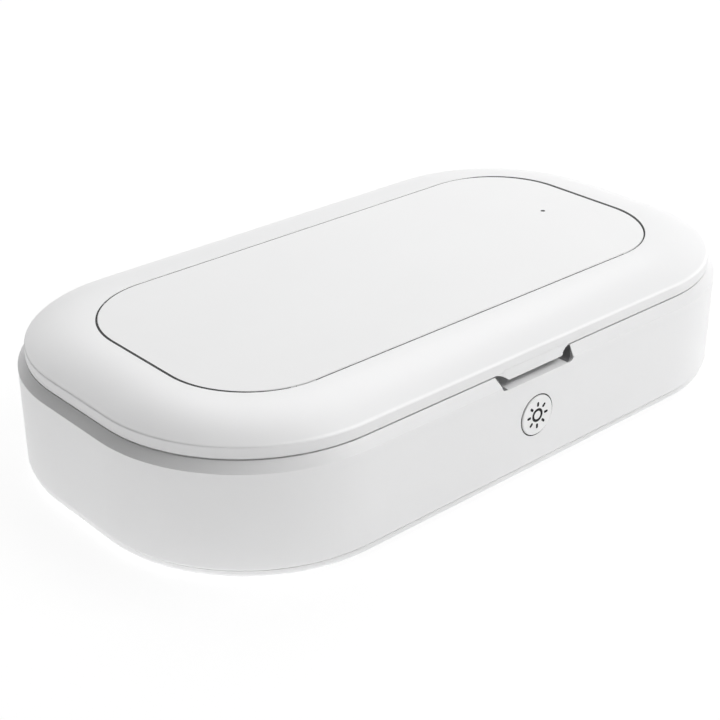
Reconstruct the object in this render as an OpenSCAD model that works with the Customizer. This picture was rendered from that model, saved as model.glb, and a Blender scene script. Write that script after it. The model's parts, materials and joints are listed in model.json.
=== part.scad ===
/* [Overall size] */
// Length of the base at its widest edge
body_length = 228; // [205:1:275]
// Depth of the base at its widest edge, front to back
body_depth = 128; // [114:1:154]
// Height of the closed box above the surface that it stands on
body_height = 45.6; // [43:0.2:57]
// Corner radius of the base at its widest edge
plan_radius = 50; // [48:0.5:54]

/* [Base shell] */
// Wall thickness of the base and lid shells
shell_wall = 2.2; // [1.8:0.1:2.6]
// How far the wall draws in from its top edge to its foot
wall_draft = 0; // [0:0.1:1.6]
// Width of the sloped band between the wall and the lid
step_run = 2.4; // [2:0.1:3]
// Height of the sloped band between the wall and the lid
step_rise = 3.2; // [2.6:0.1:3.8]
// Height of the feet below the bottom cover
foot_height = 2.2; // [1.5:0.1:3]
// Height of the bottom cover's edge band, with the seam above it
cover_band = 2.8; // [2.4:0.1:3.4]
// Seam between the bottom cover and the wall
cover_seam = 0.4; // [0.3:0.1:0.8]
// How far the bottom cover's edge lies inside the wall's foot
cover_inset = 0.7; // [0.4:0.1:1.2]

/* [Lid] */
// Height of the lid from its lower edge to its top
lid_height = 8.1; // [7.8:0.1:9.5]
// Height that the dome rises above the upright rim
dome_rise = 4.8; // [4:0.1:5]
// Width of the flat ring between the panel's recess and the dome
flat_ring = 0.1; // [0.1:0.1:1.5]
// Radius along the edge between the rim and the dome
rim_fillet = 0.6; // [0.4:0.1:1]
// Gap between the closed lid and the base
lid_gap = 0.5; // [0.2:0.05:0.6]

/* [Top panel] */
// Distance from the base's end to the panel's edge
panel_inset_x = 23.1; // [22.5:0.1:28]
// Distance from the base's front to the panel's edge
panel_inset_y = 22.3; // [21.5:0.1:28]
// Corner radius of the panel's recess
panel_radius = 27.8; // [22:0.1:28.4]
// Thickness of the panel
panel_thick = 2.2; // [1.8:0.1:2.4]
// Gap all round the panel
panel_gap = 0.45; // [0.25:0.05:0.6]
// Distance of the indicator light from the box's middle
indicator_x = 70.9; // [60:0.1:76]

/* [Finger notch] */
// Width of the notch at the lid's edge
notch_width = 31; // [24:0.5:40]
// Depth of the notch below the base's top
notch_drop = 3.9; // [3:0.1:4.5]
// Width of the lid's pull tab in the notch
tab_width = 24.2; // [18:0.2:28]
// Drop of the pull tab below the lid's edge
tab_drop = 2.4; // [1.8:0.1:2.6]
// Distance from the base's front to the back of the notch
notch_depth = 8.5; // [7.5:0.1:9]

/* [Button] */
// Diameter of the button's face
button_d = 12.4; // [10:0.2:15]
// Height of the button above the surface that the box stands on
button_z = 20.6; // [19:0.1:23]
// How far the button stands out of the wall
button_proud = 0.4; // [0.1:0.1:0.6]
// Gap round the button
button_gap = 0.4; // [0.25:0.05:0.5]
// Travel of the button
button_travel = 0.6; // [0.4:0.1:0.8]

/* [Chamber] */
// Distance from the base's side to the chamber's mouth
chamber_inset = 16; // [15:0.5:18]
// Height of the chamber's floor
chamber_floor_z = 10.2; // [9.8:0.1:11]
// Wall thickness of the chamber tray
tray_wall = 1.4; // [1:0.1:1.8]
// How far the chamber draws in from its mouth to its floor
tray_draft = 1.6; // [0.8:0.1:2.4]
// Radius between the chamber's wall and floor
tray_fillet = 3; // [1:0.5:5]

/* [Lamps] */
// Diameter of the lamp tubes
lamp_d = 4; // [3:0.1:4.4]
// Length of a lamp over its end caps
lamp_length = 150; // [130:1:154]
// Diameter of the lamps' end caps
lamp_cap_d = 5.6; // [5:0.1:6]
// Length of the lamps' end caps
lamp_cap_length = 9; // [7:0.5:10]

/* [Phone rack] */
// Diameter of the rack's wire
wire_d = 2; // [1.6:0.1:2.4]
// Number of cross bars
rack_bars = 10; // [6:1:14]
// Length of the rack
rack_length = 162; // [140:1:170]
// Depth of the rack
rack_depth = 74; // [60:1:80]

/* [Hinge] */
// Distance of each hinge's middle from the box's middle
hinge_x = 40; // [34:0.5:44]
// Radius of the hinge barrels
barrel_r = 2.3; // [2.1:0.05:2.35]
// Diameter of the hinge pins
pin_d = 2; // [1.6:0.1:2.2]
// Length of the lid's knuckle in each hinge
lid_knuckle = 14; // [10:0.5:18]
// Length of each of the base's two knuckles in a hinge
base_knuckle = 7; // [5:0.5:8]

/* [Hidden] */
$fn = 96;
small = 0.01;
far = 400;

// Corner centres that the wall, the lid, the tray and their rims share
corner_x = body_length / 2 - plan_radius;
corner_y = body_depth / 2 - plan_radius;

// Heights of the main edges
lid_edge_z = body_height - lid_height;
base_top_z = lid_edge_z - lid_gap;
step_z = lid_edge_z - step_rise;
wall_foot_z = foot_height + cover_band;
cover_top_z = wall_foot_z - cover_seam;

// Radii about the corner centres
lid_r = plan_radius - step_run;
foot_r = plan_radius - wall_draft;
draft_angle = atan(wall_draft / (step_z - wall_foot_z));
shell_mouth_r = lid_r - shell_wall - 0.4;
shoulder_r = shell_mouth_r - shell_wall;
flange_thick = 1.6;
flange_z = base_top_z - flange_thick;
shoulder_thick = 1.6;
fit_gap = 0.2;

// Outer radius of the wall at a height
function wall_r(z) = plan_radius - wall_draft * (step_z - z) / (step_z - wall_foot_z);
function inner_r(z) = wall_r(z) - shell_wall;

// Back of the finger notch and of the pull tab in it
notch_back_y = -corner_y - plan_radius + notch_depth;
tab_back_y = -corner_y - shell_mouth_r - 1;
notch_wall_thick = 1.4;
tab_proud = 0.17;
flare_r = 3.6;

// Chamber tray
chamber_r = plan_radius - chamber_inset;
tray_floor_r = chamber_r - tray_draft;
flange_r = shell_mouth_r - fit_gap;
seal_width = 2.4;
seal_r = chamber_r + 3.2;
seal_groove = 0.8;
trough_half_y = 10.5;
trough_drop = 3.6;
trough_z = chamber_floor_z - trough_drop;
trough_half_x = lamp_length / 2 + 9;

// Bottom cover
cover_floor = 1.8;
cover_inside_z = foot_height + cover_floor;
cover_r = foot_r - cover_inset;
upstand_r = inner_r(wall_foot_z) - fit_gap;
upstand_thick = 1.6;
upstand_z = wall_foot_z + 2.6;
cover_round = 1.4;
foot_round = 0.6;

// Cover screws and their bosses
boss_r = 3.2;
boss_line = (chamber_r + tray_wall + inner_r(wall_foot_z)) / 2;
boss_top_z = wall_foot_z + 17;
boss_seat_z = cover_inside_z + 2.6;
screw_shank_r = 1.25;
screw_head_r = 2.6;
screw_head_h = 1.6;
cover_boss_x = corner_x - 10;
cover_points = [
    [cover_boss_x, corner_y + boss_line], [-cover_boss_x, corner_y + boss_line],
    [cover_boss_x, -corner_y - boss_line], [-cover_boss_x, -corner_y - boss_line],
    [corner_x + boss_line, 0], [-corner_x - boss_line, 0]];

// Feet
foot_r_pad = 6;
foot_recess = 0.8;
foot_x = corner_x + 16;
foot_y = corner_y + 26;

// Lamps
lower_lamp_z = trough_z + 0.3 + lamp_cap_d / 2;
clip_length = 8;
clip_x = lamp_length / 2 - lamp_cap_length / 2;
clip_half_y = lamp_cap_d / 2 + 1.8;

// Rack
rack_z = chamber_floor_z + 5.4;
bar_z = rack_z + wire_d - 0.4;
rack_corner = 14;
rack_leg_x = rack_length / 2 - rack_corner;
rack_leg_y = rack_depth / 2;
rack_socket_h = 2.4;
rack_socket_r = wire_d / 2 + 1.5;

// Control board and its parts at the rear
board_thick = 1.2;
board_z = cover_inside_z + 1.8;
board_half_x = 42;
board_back_y = corner_y + upstand_r - upstand_thick - 0.3;
board_front_y = trough_half_y + tray_wall + 4;
board_post_x = board_half_x - 5;
board_post_y = [board_front_y + 4, board_front_y + 22];

// Charging port
port_width = 8.94;
port_height = 3.16;
port_radius = 1.5;
port_wall = 0.3;
port_depth = 7.4;
port_z = board_z + board_thick + port_height / 2;
port_face_y = corner_y + wall_r(port_z) - 0.2;

// Button stack, measured along the button's axis from the wall's outer face
button_y = -corner_y - wall_r(button_z);
button_r = button_d / 2;
button_hole_r = button_r + button_gap;
button_flange_r = button_hole_r + 1.1;
stem_end = -5.6;
switch_face = -7;
switch_back = -10.5;
switch_half = 3;
plunger_r = 1.7;
board_back = switch_back - board_thick;
button_post_x = button_flange_r + 3.6;
button_post_r = 2.2;

// Bumpers under the lid's front edge
bumper_x = corner_x - 6;
bumper_y = -corner_y - (shell_mouth_r + lid_r) / 2;

// Magnets and lid sensor
magnet_r = 2.5;
magnet_thick = 3;
lid_magnet_thick = 1.8;
magnet_line = chamber_r + 4.4;
magnet_x = corner_x - 17;
magnet_top_z = flange_z - 0.1;
sensor_x = 24;

// Hinge axis along the lid's lower rear edge
hinge_y = corner_y + lid_r;
hinge_z = lid_edge_z;
knuckle_gap = 0.3;
barrel_gap = 0.3;
pin_r = pin_d / 2;
pin_fit = 0.05;
hinge_length = lid_knuckle + 2 * base_knuckle + 2 * knuckle_gap;

// Lid shell
top_z = body_height;
panel_half_x = body_length / 2 - panel_inset_x;
panel_half_y = body_depth / 2 - panel_inset_y;
edge_break = 0.2;
flat_r = max(panel_half_x - corner_x, panel_half_y - corner_y) + edge_break + flat_ring;
dome_run = lid_r - flat_r;
dome_r = (pow(dome_run, 2) + pow(dome_rise, 2)) / (2 * dome_rise);
ledge_z = top_z - panel_thick;
ledge_thick = 1.4;
ledge_width = 4;

// Charging coil and its shield under the panel
coil_r = 22;
coil_hole_r = 10;
coil_thick = 1.2;
shield_thick = 0.6;
shield_r = 25;

// Lid liner
liner_z = lid_edge_z + 0.3;
liner_thick = 1.4;
liner_top_z = liner_z + liner_thick;
liner_r = lid_r - shell_wall - 0.5;
baffle_r = chamber_r - 0.8;
baffle_thick = 1.6;
baffle_drop = 3;
lid_trough_half_y = trough_half_y;
lid_trough_z = top_z - panel_thick - coil_thick - shield_thick - 0.2;
lid_trough_roof = lid_trough_z - 1;
upper_lamp_z = lid_trough_roof - 0.3 - lamp_cap_d / 2;
lid_screw_line = chamber_r + 5.5;
lid_screw_x = 25;
lid_points = [
    [lid_screw_x, corner_y + lid_screw_line], [-lid_screw_x, corner_y + lid_screw_line],
    [lid_screw_x, -corner_y - lid_screw_line], [-lid_screw_x, -corner_y - lid_screw_line],
    [corner_x + lid_screw_line, 0], [-corner_x - lid_screw_line, 0]];
lid_pad_h = 1;
lid_boss_r = 2.8;
lid_shank_r = 1.05;
lid_head_r = 2.3;
lid_head_h = 1.2;

// Charging board
charger_thick = 0.8;
charger_z = lid_trough_z + 0.2;
charger_x = [indicator_x - 30, indicator_x + 12];
charger_half_y = 17;
light_hole_r = 0.65;

// Sweeps a profile, drawn as [radius, height], round a loop with four round corners
module loop(cx = corner_x, cy = corner_y) {
    for (turn = [0, 1, 2, 3]) {
        sx = (turn == 0 || turn == 3) ? 1 : -1;
        sy = (turn < 2) ? 1 : -1;
        translate([sx * cx, sy * cy, 0])
            rotate([0, 0, 90 * turn])
                rotate_extrude(angle = 90)
                    children();
    }
    for (sy = [0, 1]) {
        mirror([0, sy, 0])
            translate([0, cy, 0])
                rotate([90, 0, 90])
                    linear_extrude(height = 2 * cx, center = true)
                        children();
    }
    for (sx = [0, 1]) {
        mirror([sx, 0, 0])
            translate([cx, 0, 0])
                rotate([90, 0, 0])
                    linear_extrude(height = 2 * cy, center = true)
                        children();
    }
}

// Flat shape with round corners, given by its half sizes and corner radius
module rounded(half_x, half_y, r) {
    square([2 * half_x, 2 * (half_y - r)], center = true);
    square([2 * (half_x - r), 2 * half_y], center = true);
    for (sx = [-1, 1], sy = [-1, 1]) {
        translate([sx * (half_x - r), sy * (half_y - r)])
            circle(r = r);
    }
}

// Plate between two heights whose edge lies at a radius from the shared corner centres
module plate(r, z0, z1) {
    translate([0, 0, z0])
        linear_extrude(height = z1 - z0)
            rounded(corner_x + r, corner_y + r, r);
}

// Plate given by its half sizes
module slab(half_x, half_y, r, z0, z1) {
    translate([0, 0, z0])
        linear_extrude(height = z1 - z0)
            rounded(half_x, half_y, r);
}

// Upright round bar between two heights
module post(x, y, r, z0, z1) {
    translate([x, y, z0])
        cylinder(r = r, h = z1 - z0);
}

// Round bar along X between two places
module bar_x(x0, x1, y, z, r) {
    translate([x0, y, z])
        rotate([0, 90, 0])
            cylinder(r = r, h = x1 - x0);
}

// Round bar along Y between two places
module bar_y(x, y0, y1, z, r) {
    translate([x, y0, z])
        rotate([-90, 0, 0])
            cylinder(r = r, h = y1 - y0);
}

// Block given by its lowest and highest corners
module block(low, high) {
    translate(low)
        cube(high - low);
}

// Extrudes a profile drawn in Y and Z along X, centred on x
module along_x(x, length) {
    translate([x, 0, 0])
        rotate([90, 0, 90])
            linear_extrude(height = length, center = true)
                children();
}

// Places its children on the front wall, with Z out of the wall along the button's axis
module at_button() {
    translate([0, button_y, button_z])
        rotate([90 + draft_angle, 0, 0])
            children();
}

// Pan head screw whose head rests at z = 0 and whose shank points up
module screw(shank_r, shank_l, head_r, head_h) {
    rotate_extrude()
        polygon([
            [0, -head_h], [head_r * 0.7, -head_h], [head_r, -head_h * 0.45],
            [head_r, 0], [shank_r, 0], [shank_r, shank_l - shank_r],
            [shank_r * 0.3, shank_l], [0, shank_l]]);
}

// Base shell

module shell_profile() {
    underside_z = flange_z - shoulder_thick;
    gusset = inner_r(underside_z) - shoulder_r;
    polygon([
        [inner_r(wall_foot_z), wall_foot_z], [foot_r - foot_round, wall_foot_z],
        [foot_r - foot_round / 2, wall_foot_z + foot_round * 0.13],
        [foot_r - foot_round * 0.13, wall_foot_z + foot_round / 2],
        [foot_r, wall_foot_z + foot_round],
        [plan_radius, step_z], [lid_r, base_top_z],
        [shell_mouth_r, base_top_z], [shell_mouth_r, flange_z],
        [shoulder_r, flange_z], [shoulder_r, underside_z],
        [shoulder_r + gusset / 2, underside_z],
        [inner_r(underside_z - gusset / 2), underside_z - gusset / 2]]);
}

// Opening of the notch, as seen from the front
module notch_outline(grow = 0) {
    half = notch_width / 2;
    floor_z = base_top_z - notch_drop - grow;
    lean = 0.32;
    bottom_half = half - lean * notch_drop + grow;
    corner = 1.6 + grow;
    top_z = base_top_z + 4;
    rise = top_z - floor_z - corner;
    polygon([
        [-bottom_half - lean * corner, floor_z + corner],
        [bottom_half + lean * corner, floor_z + corner],
        [bottom_half + lean * (corner + rise), top_z],
        [-bottom_half - lean * (corner + rise), top_z]]);
    translate([-bottom_half + corner * (1 - lean), floor_z])
        square([2 * (bottom_half - corner * (1 - lean)), corner + small]);
    for (side = [-1, 1]) {
        translate([side * (bottom_half - corner * (1 - lean)), floor_z + corner])
            circle(r = corner);
    }
}

module notch_cut(grow = 0, back = notch_back_y, front = -far) {
    translate([0, back, 0])
        rotate([90, 0, 0])
            linear_extrude(height = back - front)
                notch_outline(grow);
}

module notch_wall() {
    intersection() {
        difference() {
            notch_cut(notch_wall_thick, notch_back_y + notch_wall_thick,
                -corner_y - plan_radius - 1);
            block([-far, -far, base_top_z], [far, far, far]);
            block([-far, -corner_y - shell_mouth_r, flange_z - fit_gap], [far, far, far]);
        }
        plate_of_wall();
    }
}

// Solid form inside the wall's outer face
module plate_of_wall() {
    loop()
        polygon([
            [0, wall_foot_z], [foot_r, wall_foot_z], [plan_radius, step_z],
            [lid_r, base_top_z], [0, base_top_z]]);
}

module button_collar() {
    at_button()
        difference() {
            translate([0, 0, -4.6])
                cylinder(r = button_flange_r + 1.6, h = 4);
            translate([0, 0, -5])
                cylinder(r = button_flange_r + 0.4, h = 6);
        }
}

module button_posts() {
    at_button()
        for (side = [-1, 1]) {
            translate([side * button_post_x, 0, switch_back])
                cylinder(r = button_post_r, h = -switch_back - 1);
        }
}

module button_cuts() {
    at_button() {
        translate([0, 0, -shell_wall - 3])
            cylinder(r = button_hole_r, h = shell_wall + 6);
        for (side = [-1, 1]) {
            translate([side * button_post_x, 0, switch_back - 1])
                cylinder(r = 0.8, h = 7);
        }
    }
}

// Board rests and bosses inside the base shell
module shell_boss(point) {
    out = [sign(point[0]), sign(point[1])];
    along_end = point[1] == 0;
    reach = inner_r(boss_top_z) + 0.5 - boss_line;
    post(point[0], point[1], boss_r, boss_seat_z, boss_top_z);
    if (along_end) {
        x0 = point[0];
        x1 = point[0] + out[0] * reach;
        block([min(x0, x1), -0.8, wall_foot_z + 2.8], [max(x0, x1), 0.8, boss_top_z]);
    } else {
        y0 = point[1];
        y1 = point[1] + out[1] * reach;
        block([point[0] - 0.8, min(y0, y1), wall_foot_z + 2.8],
            [point[0] + 0.8, max(y0, y1), boss_top_z]);
    }
}

module hinge_pocket(length) {
    for (side = [-1, 1]) {
        bar_x(side * hinge_x - length / 2, side * hinge_x + length / 2,
            hinge_y, hinge_z, barrel_r + barrel_gap);
    }
}

module base_knuckles() {
    inner_end = lid_knuckle / 2 + knuckle_gap;
    for (side = [-1, 1], hand = [-1, 1]) {
        middle = side * hinge_x + hand * (inner_end + base_knuckle / 2);
        x0 = middle - base_knuckle / 2;
        x1 = middle + base_knuckle / 2;
        bar_x(x0, x1, hinge_y, hinge_z, barrel_r);
        block([x0, hinge_y - barrel_r, base_top_z - 2.6], [x1, hinge_y + barrel_r, hinge_z]);
        block([x0, hinge_y - 1, step_z - 0.6], [x1, hinge_y + barrel_r, base_top_z - 2]);
    }
}

module pin_bores(r) {
    for (side = [-1, 1]) {
        bar_x(side * hinge_x - far / 20, side * hinge_x + far / 20, hinge_y, hinge_z, r);
    }
}

module port_outline(grow = 0) {
    rounded(port_width / 2 + grow, port_height / 2 + grow, port_radius + grow);
}

module port_cut() {
    translate([0, port_face_y + 3, port_z])
        rotate([90, 0, 0])
            linear_extrude(height = 8)
                port_outline(0.25);
}

module base_shell() {
    color("whitesmoke")
        difference() {
            union() {
                difference() {
                    union() {
                        loop()
                            shell_profile();
                        notch_wall();
                        button_collar();
                        button_posts();
                        for (point = cover_points) {
                            shell_boss(point);
                        }
                    }
                    hinge_pocket(lid_knuckle + 2 * knuckle_gap);
                }
                base_knuckles();
            }
            notch_cut();
            button_cuts();
            port_cut();
            pin_bores(pin_r + 0.02);
            for (point = cover_points) {
                post(point[0], point[1], 1.1, boss_seat_z - 1, boss_seat_z + 11);
            }
        }
}

// Bottom cover, feet and screws

module bottom_cover() {
    color("whitesmoke")
        difference() {
            union() {
                loop()
                    polygon([
                        [0, foot_height], [cover_r - cover_round, foot_height],
                        [cover_r - cover_round / 2, foot_height + cover_round * 0.13],
                        [cover_r - cover_round * 0.13, foot_height + cover_round / 2],
                        [cover_r, foot_height + cover_round], [cover_r, cover_top_z],
                        [upstand_r, cover_top_z], [upstand_r, upstand_z],
                        [upstand_r - upstand_thick, upstand_z],
                        [upstand_r - upstand_thick, cover_inside_z], [0, cover_inside_z]]);
                block([-corner_x, -corner_y, foot_height], [corner_x, corner_y, cover_inside_z]);
                for (point = cover_points) {
                    post(point[0], point[1], boss_r + 1, foot_height + 1, boss_seat_z);
                }
                for (sx = [-1, 1], sy = [-1, 1]) {
                    post(sx * foot_x, sy * foot_y, foot_r_pad + 1.6,
                        foot_height + 1, cover_inside_z + foot_recess);
                }
                for (sx = [-1, 1], y = board_post_y) {
                    post(sx * board_post_x, y, 2.6, foot_height + 1, board_z);
                }
                for (sx = [-1, 1]) {
                    for (y = [-trough_half_y - 6, trough_half_y + 2.6]) {
                        block([sx > 0 ? 46 : -corner_x - 20, y - 0.6, foot_height + 1],
                            [sx > 0 ? corner_x + 20 : -46, y + 0.6, cover_inside_z + 1.2]);
                    }
                }
            }
            port_cut();
            for (point = cover_points) {
                post(point[0], point[1], 1.6, foot_height - 1, boss_seat_z + 1);
                post(point[0], point[1], screw_head_r + 0.3, foot_height - 1, foot_height + 2);
            }
            for (sx = [-1, 1], sy = [-1, 1]) {
                post(sx * foot_x, sy * foot_y, foot_r_pad + 0.2,
                    foot_height - 1, foot_height + foot_recess);
            }
            for (sx = [-1, 1], y = board_post_y) {
                post(sx * board_post_x, y, 0.8, foot_height + 1, board_z + 1);
            }
        }
}

module rubber_feet() {
    color("dimgray")
        for (sx = [-1, 1], sy = [-1, 1]) {
            translate([sx * foot_x, sy * foot_y, 0])
                rotate_extrude()
                    polygon([
                        [0, 0], [foot_r_pad - 0.8, 0], [foot_r_pad, 0.8],
                        [foot_r_pad, foot_height + foot_recess], [0, foot_height + foot_recess]]);
        }
}

module cover_screws() {
    color("silver")
        for (point = cover_points) {
            translate([point[0], point[1], foot_height + 2])
                difference() {
                    screw(screw_shank_r - 0.15, 11, screw_head_r, screw_head_h);
                    translate([0, 0, -screw_head_h - 1])
                        cylinder(r = 0.9, h = 1.9, $fn = 6);
                }
        }
}

// Chamber tray with its flange, lamp trough, rack sockets, magnet cups and hooks

module tray_outline(grow) {
    floor_z = chamber_floor_z - grow;
    r_low = tray_floor_r + grow;
    fillet = tray_fillet + grow;
    top_z = base_top_z + (grow > 0 ? 0 : 5);
    slope = tray_draft / (base_top_z - floor_z - fillet);
    union() {
        polygon([
            [0, floor_z + fillet], [r_low, floor_z + fillet],
            [r_low + slope * (top_z - floor_z - fillet), top_z], [0, top_z]]);
        square_between([0, floor_z], [r_low - fillet, floor_z + fillet + small]);
        intersection() {
            translate([r_low - fillet, floor_z + fillet])
                circle(r = fillet);
            square_between([0, floor_z], [r_low, floor_z + fillet + small]);
        }
    }
}

module square_between(low, high) {
    translate(low)
        square(high - low);
}

module tray_hook(x, length) {
    top_z = flange_z + 0.2;
    r_face = shoulder_r - fit_gap;
    under_z = flange_z - shoulder_thick - 0.15;
    for (sy = [0, 1]) {
        mirror([0, sy, 0])
            translate([0, corner_y, 0])
                along_x(x, length)
                    polygon([
                        [r_face - 1.4, top_z], [r_face, top_z], [r_face, under_z],
                        [r_face + 0.9, under_z], [r_face, under_z - 1.4],
                        [r_face - 1.4, under_z - 1.4]]);
    }
}

module magnet_cups() {
    for (sx = [-1, 1]) {
        difference() {
            post(sx * magnet_x, -corner_y - magnet_line, magnet_r + 1.1,
                magnet_top_z - magnet_thick, flange_z + 0.2);
            post(sx * magnet_x, -corner_y - magnet_line, magnet_r + 0.1,
                magnet_top_z - magnet_thick - 1, magnet_top_z);
        }
    }
}

module chamber_tray() {
    color("gainsboro")
        difference() {
            union() {
                loop()
                    tray_outline(tray_wall);
                block([-corner_x, -corner_y, chamber_floor_z - tray_wall],
                    [corner_x, corner_y, chamber_floor_z]);
                plate(flange_r, flange_z, base_top_z);
                slab(trough_half_x + tray_wall, trough_half_y + tray_wall, 3,
                    trough_z - tray_wall + 0.2, chamber_floor_z);
                magnet_cups();
                for (x = [30, corner_x - 3]) {
                    tray_hook(x, 8);
                    tray_hook(-x, 8);
                }
            }
            difference() {
                loop()
                    tray_outline(0);
                for (sx = [-1, 1], sy = [-1, 1]) {
                    post(sx * rack_leg_x, sy * rack_leg_y, rack_socket_r,
                        chamber_floor_z - 1, chamber_floor_z + rack_socket_h);
                }
            }
            block([-corner_x, -corner_y, chamber_floor_z], [corner_x, corner_y, far]);
            notch_cut(0, notch_back_y + 0.1);
            slab(trough_half_x, trough_half_y, 2, trough_z, far);
            for (sx = [-1, 1], sy = [-1, 1]) {
                post(sx * rack_leg_x, sy * rack_leg_y, wire_d / 2 + 0.05,
                    chamber_floor_z, far);
            }
            difference() {
                plate(seal_r + seal_width, base_top_z - seal_groove, far);
                plate(seal_r, 0, far);
            }
        }
}

module chamber_seal() {
    color("darkgray")
        loop()
            polygon([
                [seal_r + 0.1, base_top_z - seal_groove],
                [seal_r + seal_width - 0.1, base_top_z - seal_groove],
                [seal_r + seal_width - 0.1, base_top_z + 0.1],
                [seal_r + seal_width - 0.7, liner_z - 0.1],
                [seal_r + 0.7, liner_z - 0.1],
                [seal_r + 0.1, base_top_z + 0.1]]);
}

module lid_bumpers() {
    color("dimgray")
        for (sx = [-1, 1]) {
            post(sx * bumper_x, bumper_y, 0.8, base_top_z, lid_edge_z - 0.05);
        }
}

// Lamp parts, shared by the base and the lid

module lamp_tube(z) {
    bar_x(-lamp_length / 2 + 3, lamp_length / 2 - 3, 0, z, lamp_d / 2);
}

module lamp_caps(z) {
    for (side = [0, 1]) {
        mirror([side, 0, 0])
            translate([lamp_length / 2 - lamp_cap_length, 0, z])
                rotate([0, 90, 0])
                    difference() {
                        rotate_extrude()
                            polygon([
                                [0, 0], [lamp_cap_d / 2, 0], [lamp_cap_d / 2, lamp_cap_length - 0.8],
                                [lamp_cap_d / 2 - 0.8, lamp_cap_length], [0, lamp_cap_length]]);
                        translate([0, 0, -1])
                            cylinder(r = lamp_d / 2 + small, h = lamp_cap_length - 2);
                    }
    }
}

// Clip open on one side, seated on seat_z; way is 1 when it opens upward
module lamp_clips(lamp_z, seat_z, way) {
    reach = way * (lamp_z - seat_z);
    for (side = [-1, 1]) {
        translate([side * clip_x, 0, lamp_z])
            mirror([0, 0, way > 0 ? 0 : 1])
                rotate([90, 0, 90])
                    linear_extrude(height = clip_length - 1, center = true)
                        difference() {
                            union() {
                                intersection() {
                                    circle(r = clip_half_y);
                                    square_between([-far, 0], [far, far]);
                                }
                                square_between([-clip_half_y, -reach], [clip_half_y, 0]);
                            }
                            circle(r = lamp_cap_d / 2 + 0.05);
                            polygon([[-1.6, 0], [-3.6, far], [3.6, far], [1.6, 0]]);
                        }
    }
}

// Bent reflector sheet; way is 1 when it opens upward
module reflector(seat_z, way, drop) {
    sheet = 0.3;
    bottom = 4.4;
    side = trough_half_y - 0.9;
    lip = side + 3.6;
    half = [
        [bottom, 0], [side, drop], [lip, drop], [lip, drop + sheet],
        [side - sheet, drop + sheet], [bottom - sheet / 2, sheet]];
    last = len(half) - 1;
    translate([0, 0, seat_z])
        mirror([0, 0, way > 0 ? 0 : 1])
            along_x(0, 2 * (clip_x - clip_length / 2 - 1.5))
                polygon(concat(half, [for (i = [last : -1 : 0]) [-half[i][0], half[i][1]]]));
}

module lower_reflector() {
    color("silver")
        reflector(trough_z + 0.05, 1, trough_drop);
}

module lower_uv_lamp() {
    color("lightblue")
        lamp_tube(lower_lamp_z);
}

module lower_lamp_caps() {
    color("white")
        lamp_caps(lower_lamp_z);
}

module lower_lamp_clips() {
    color("white")
        lamp_clips(lower_lamp_z, trough_z, 1);
}

module upper_reflector() {
    color("silver")
        reflector(lid_trough_roof - 0.05, -1, lid_trough_roof - liner_z - 0.05);
}

module upper_uv_lamp() {
    color("lightblue")
        lamp_tube(upper_lamp_z);
}

module upper_lamp_caps() {
    color("white")
        lamp_caps(upper_lamp_z);
}

module upper_lamp_clips() {
    color("white")
        lamp_clips(upper_lamp_z, lid_trough_roof, -1);
}

// Wire rack that carries the phone above the lower lamp

module phone_rack() {
    half_x = rack_length / 2;
    half_y = rack_depth / 2;
    bar_span = 2 * (half_x - rack_corner) + 12;
    bar_step = bar_span / (rack_bars - 1);
    color("lightgray")
        union() {
            translate([0, 0, rack_z])
                loop(half_x - rack_corner, half_y - rack_corner)
                    translate([rack_corner, 0])
                        circle(r = wire_d / 2);
            for (i = [0 : rack_bars - 1]) {
                bar_y(-bar_span / 2 + i * bar_step, -half_y, half_y, bar_z, wire_d / 2);
            }
            for (sx = [-1, 1], sy = [-1, 1]) {
                post(sx * rack_leg_x, sy * rack_leg_y, wire_d / 2, chamber_floor_z + 0.1, rack_z);
            }
        }
}

// Boards and switches in the base

module control_board() {
    top = board_z + board_thick;
    color("seagreen")
        difference() {
            union() {
                block([-board_half_x, board_front_y, board_z], [board_half_x, board_back_y, top]);
                block([-24, board_front_y + 8, top], [-14, board_front_y + 18, top + 1]);
                block([6, board_front_y + 5, top], [16, board_front_y + 9, top + 1.2]);
                block([22, board_front_y + 12, top], [28, board_front_y + 17, top + 1.2]);
                block([-34, board_back_y - 8, top], [-24, board_back_y - 2, top + 5]);
            }
            for (sx = [-1, 1], y = board_post_y) {
                post(sx * board_post_x, y, 1.1, board_z - 1, top + 1);
            }
        }
}

module lamp_transformer() {
    low_z = board_z + board_thick;
    back = board_back_y - 1;
    color("dimgray")
        difference() {
            block([18, back - 8.6, low_z], [36, back, low_z + 8]);
            block([22, back - 9, low_z + 2], [32, back + 1, low_z + 2.6]);
            block([22, back - 9, low_z + 6.2], [32, back + 1, low_z + 9]);
        }
}

module board_screws() {
    color("silver")
        for (sx = [-1, 1], y = board_post_y) {
            translate([sx * board_post_x, y, board_z + board_thick])
                mirror([0, 0, 1])
                    screw(0.78, board_thick + 1.7, 1.9, 1);
        }
}

module usb_socket() {
    color("silver")
        translate([0, port_face_y, port_z])
            rotate([90, 0, 0])
                difference() {
                    linear_extrude(height = port_depth)
                        port_outline();
                    translate([0, 0, -1])
                        linear_extrude(height = port_depth)
                            port_outline(-port_wall);
                }
}

module usb_tongue() {
    color("black")
        translate([0, port_face_y - 0.6, port_z])
            rotate([90, 0, 0])
                linear_extrude(height = port_depth - 1.6)
                    rounded(3.35, 0.35, 0.3);
}

module button_board() {
    color("seagreen")
        at_button()
            difference() {
                translate([0, 0, board_back])
                    linear_extrude(height = board_thick)
                        rounded(button_post_x + 3, 7, 1.5);
                for (side = [-1, 1]) {
                    translate([side * button_post_x, 0, board_back - 1])
                        cylinder(r = 1.1, h = board_thick + 2);
                }
            }
}

module button_screws() {
    color("silver")
        at_button()
            for (side = [-1, 1]) {
                translate([side * button_post_x, 0, board_back])
                    screw(0.78, board_thick + 4, 1.8, 1);
            }
}

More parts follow.
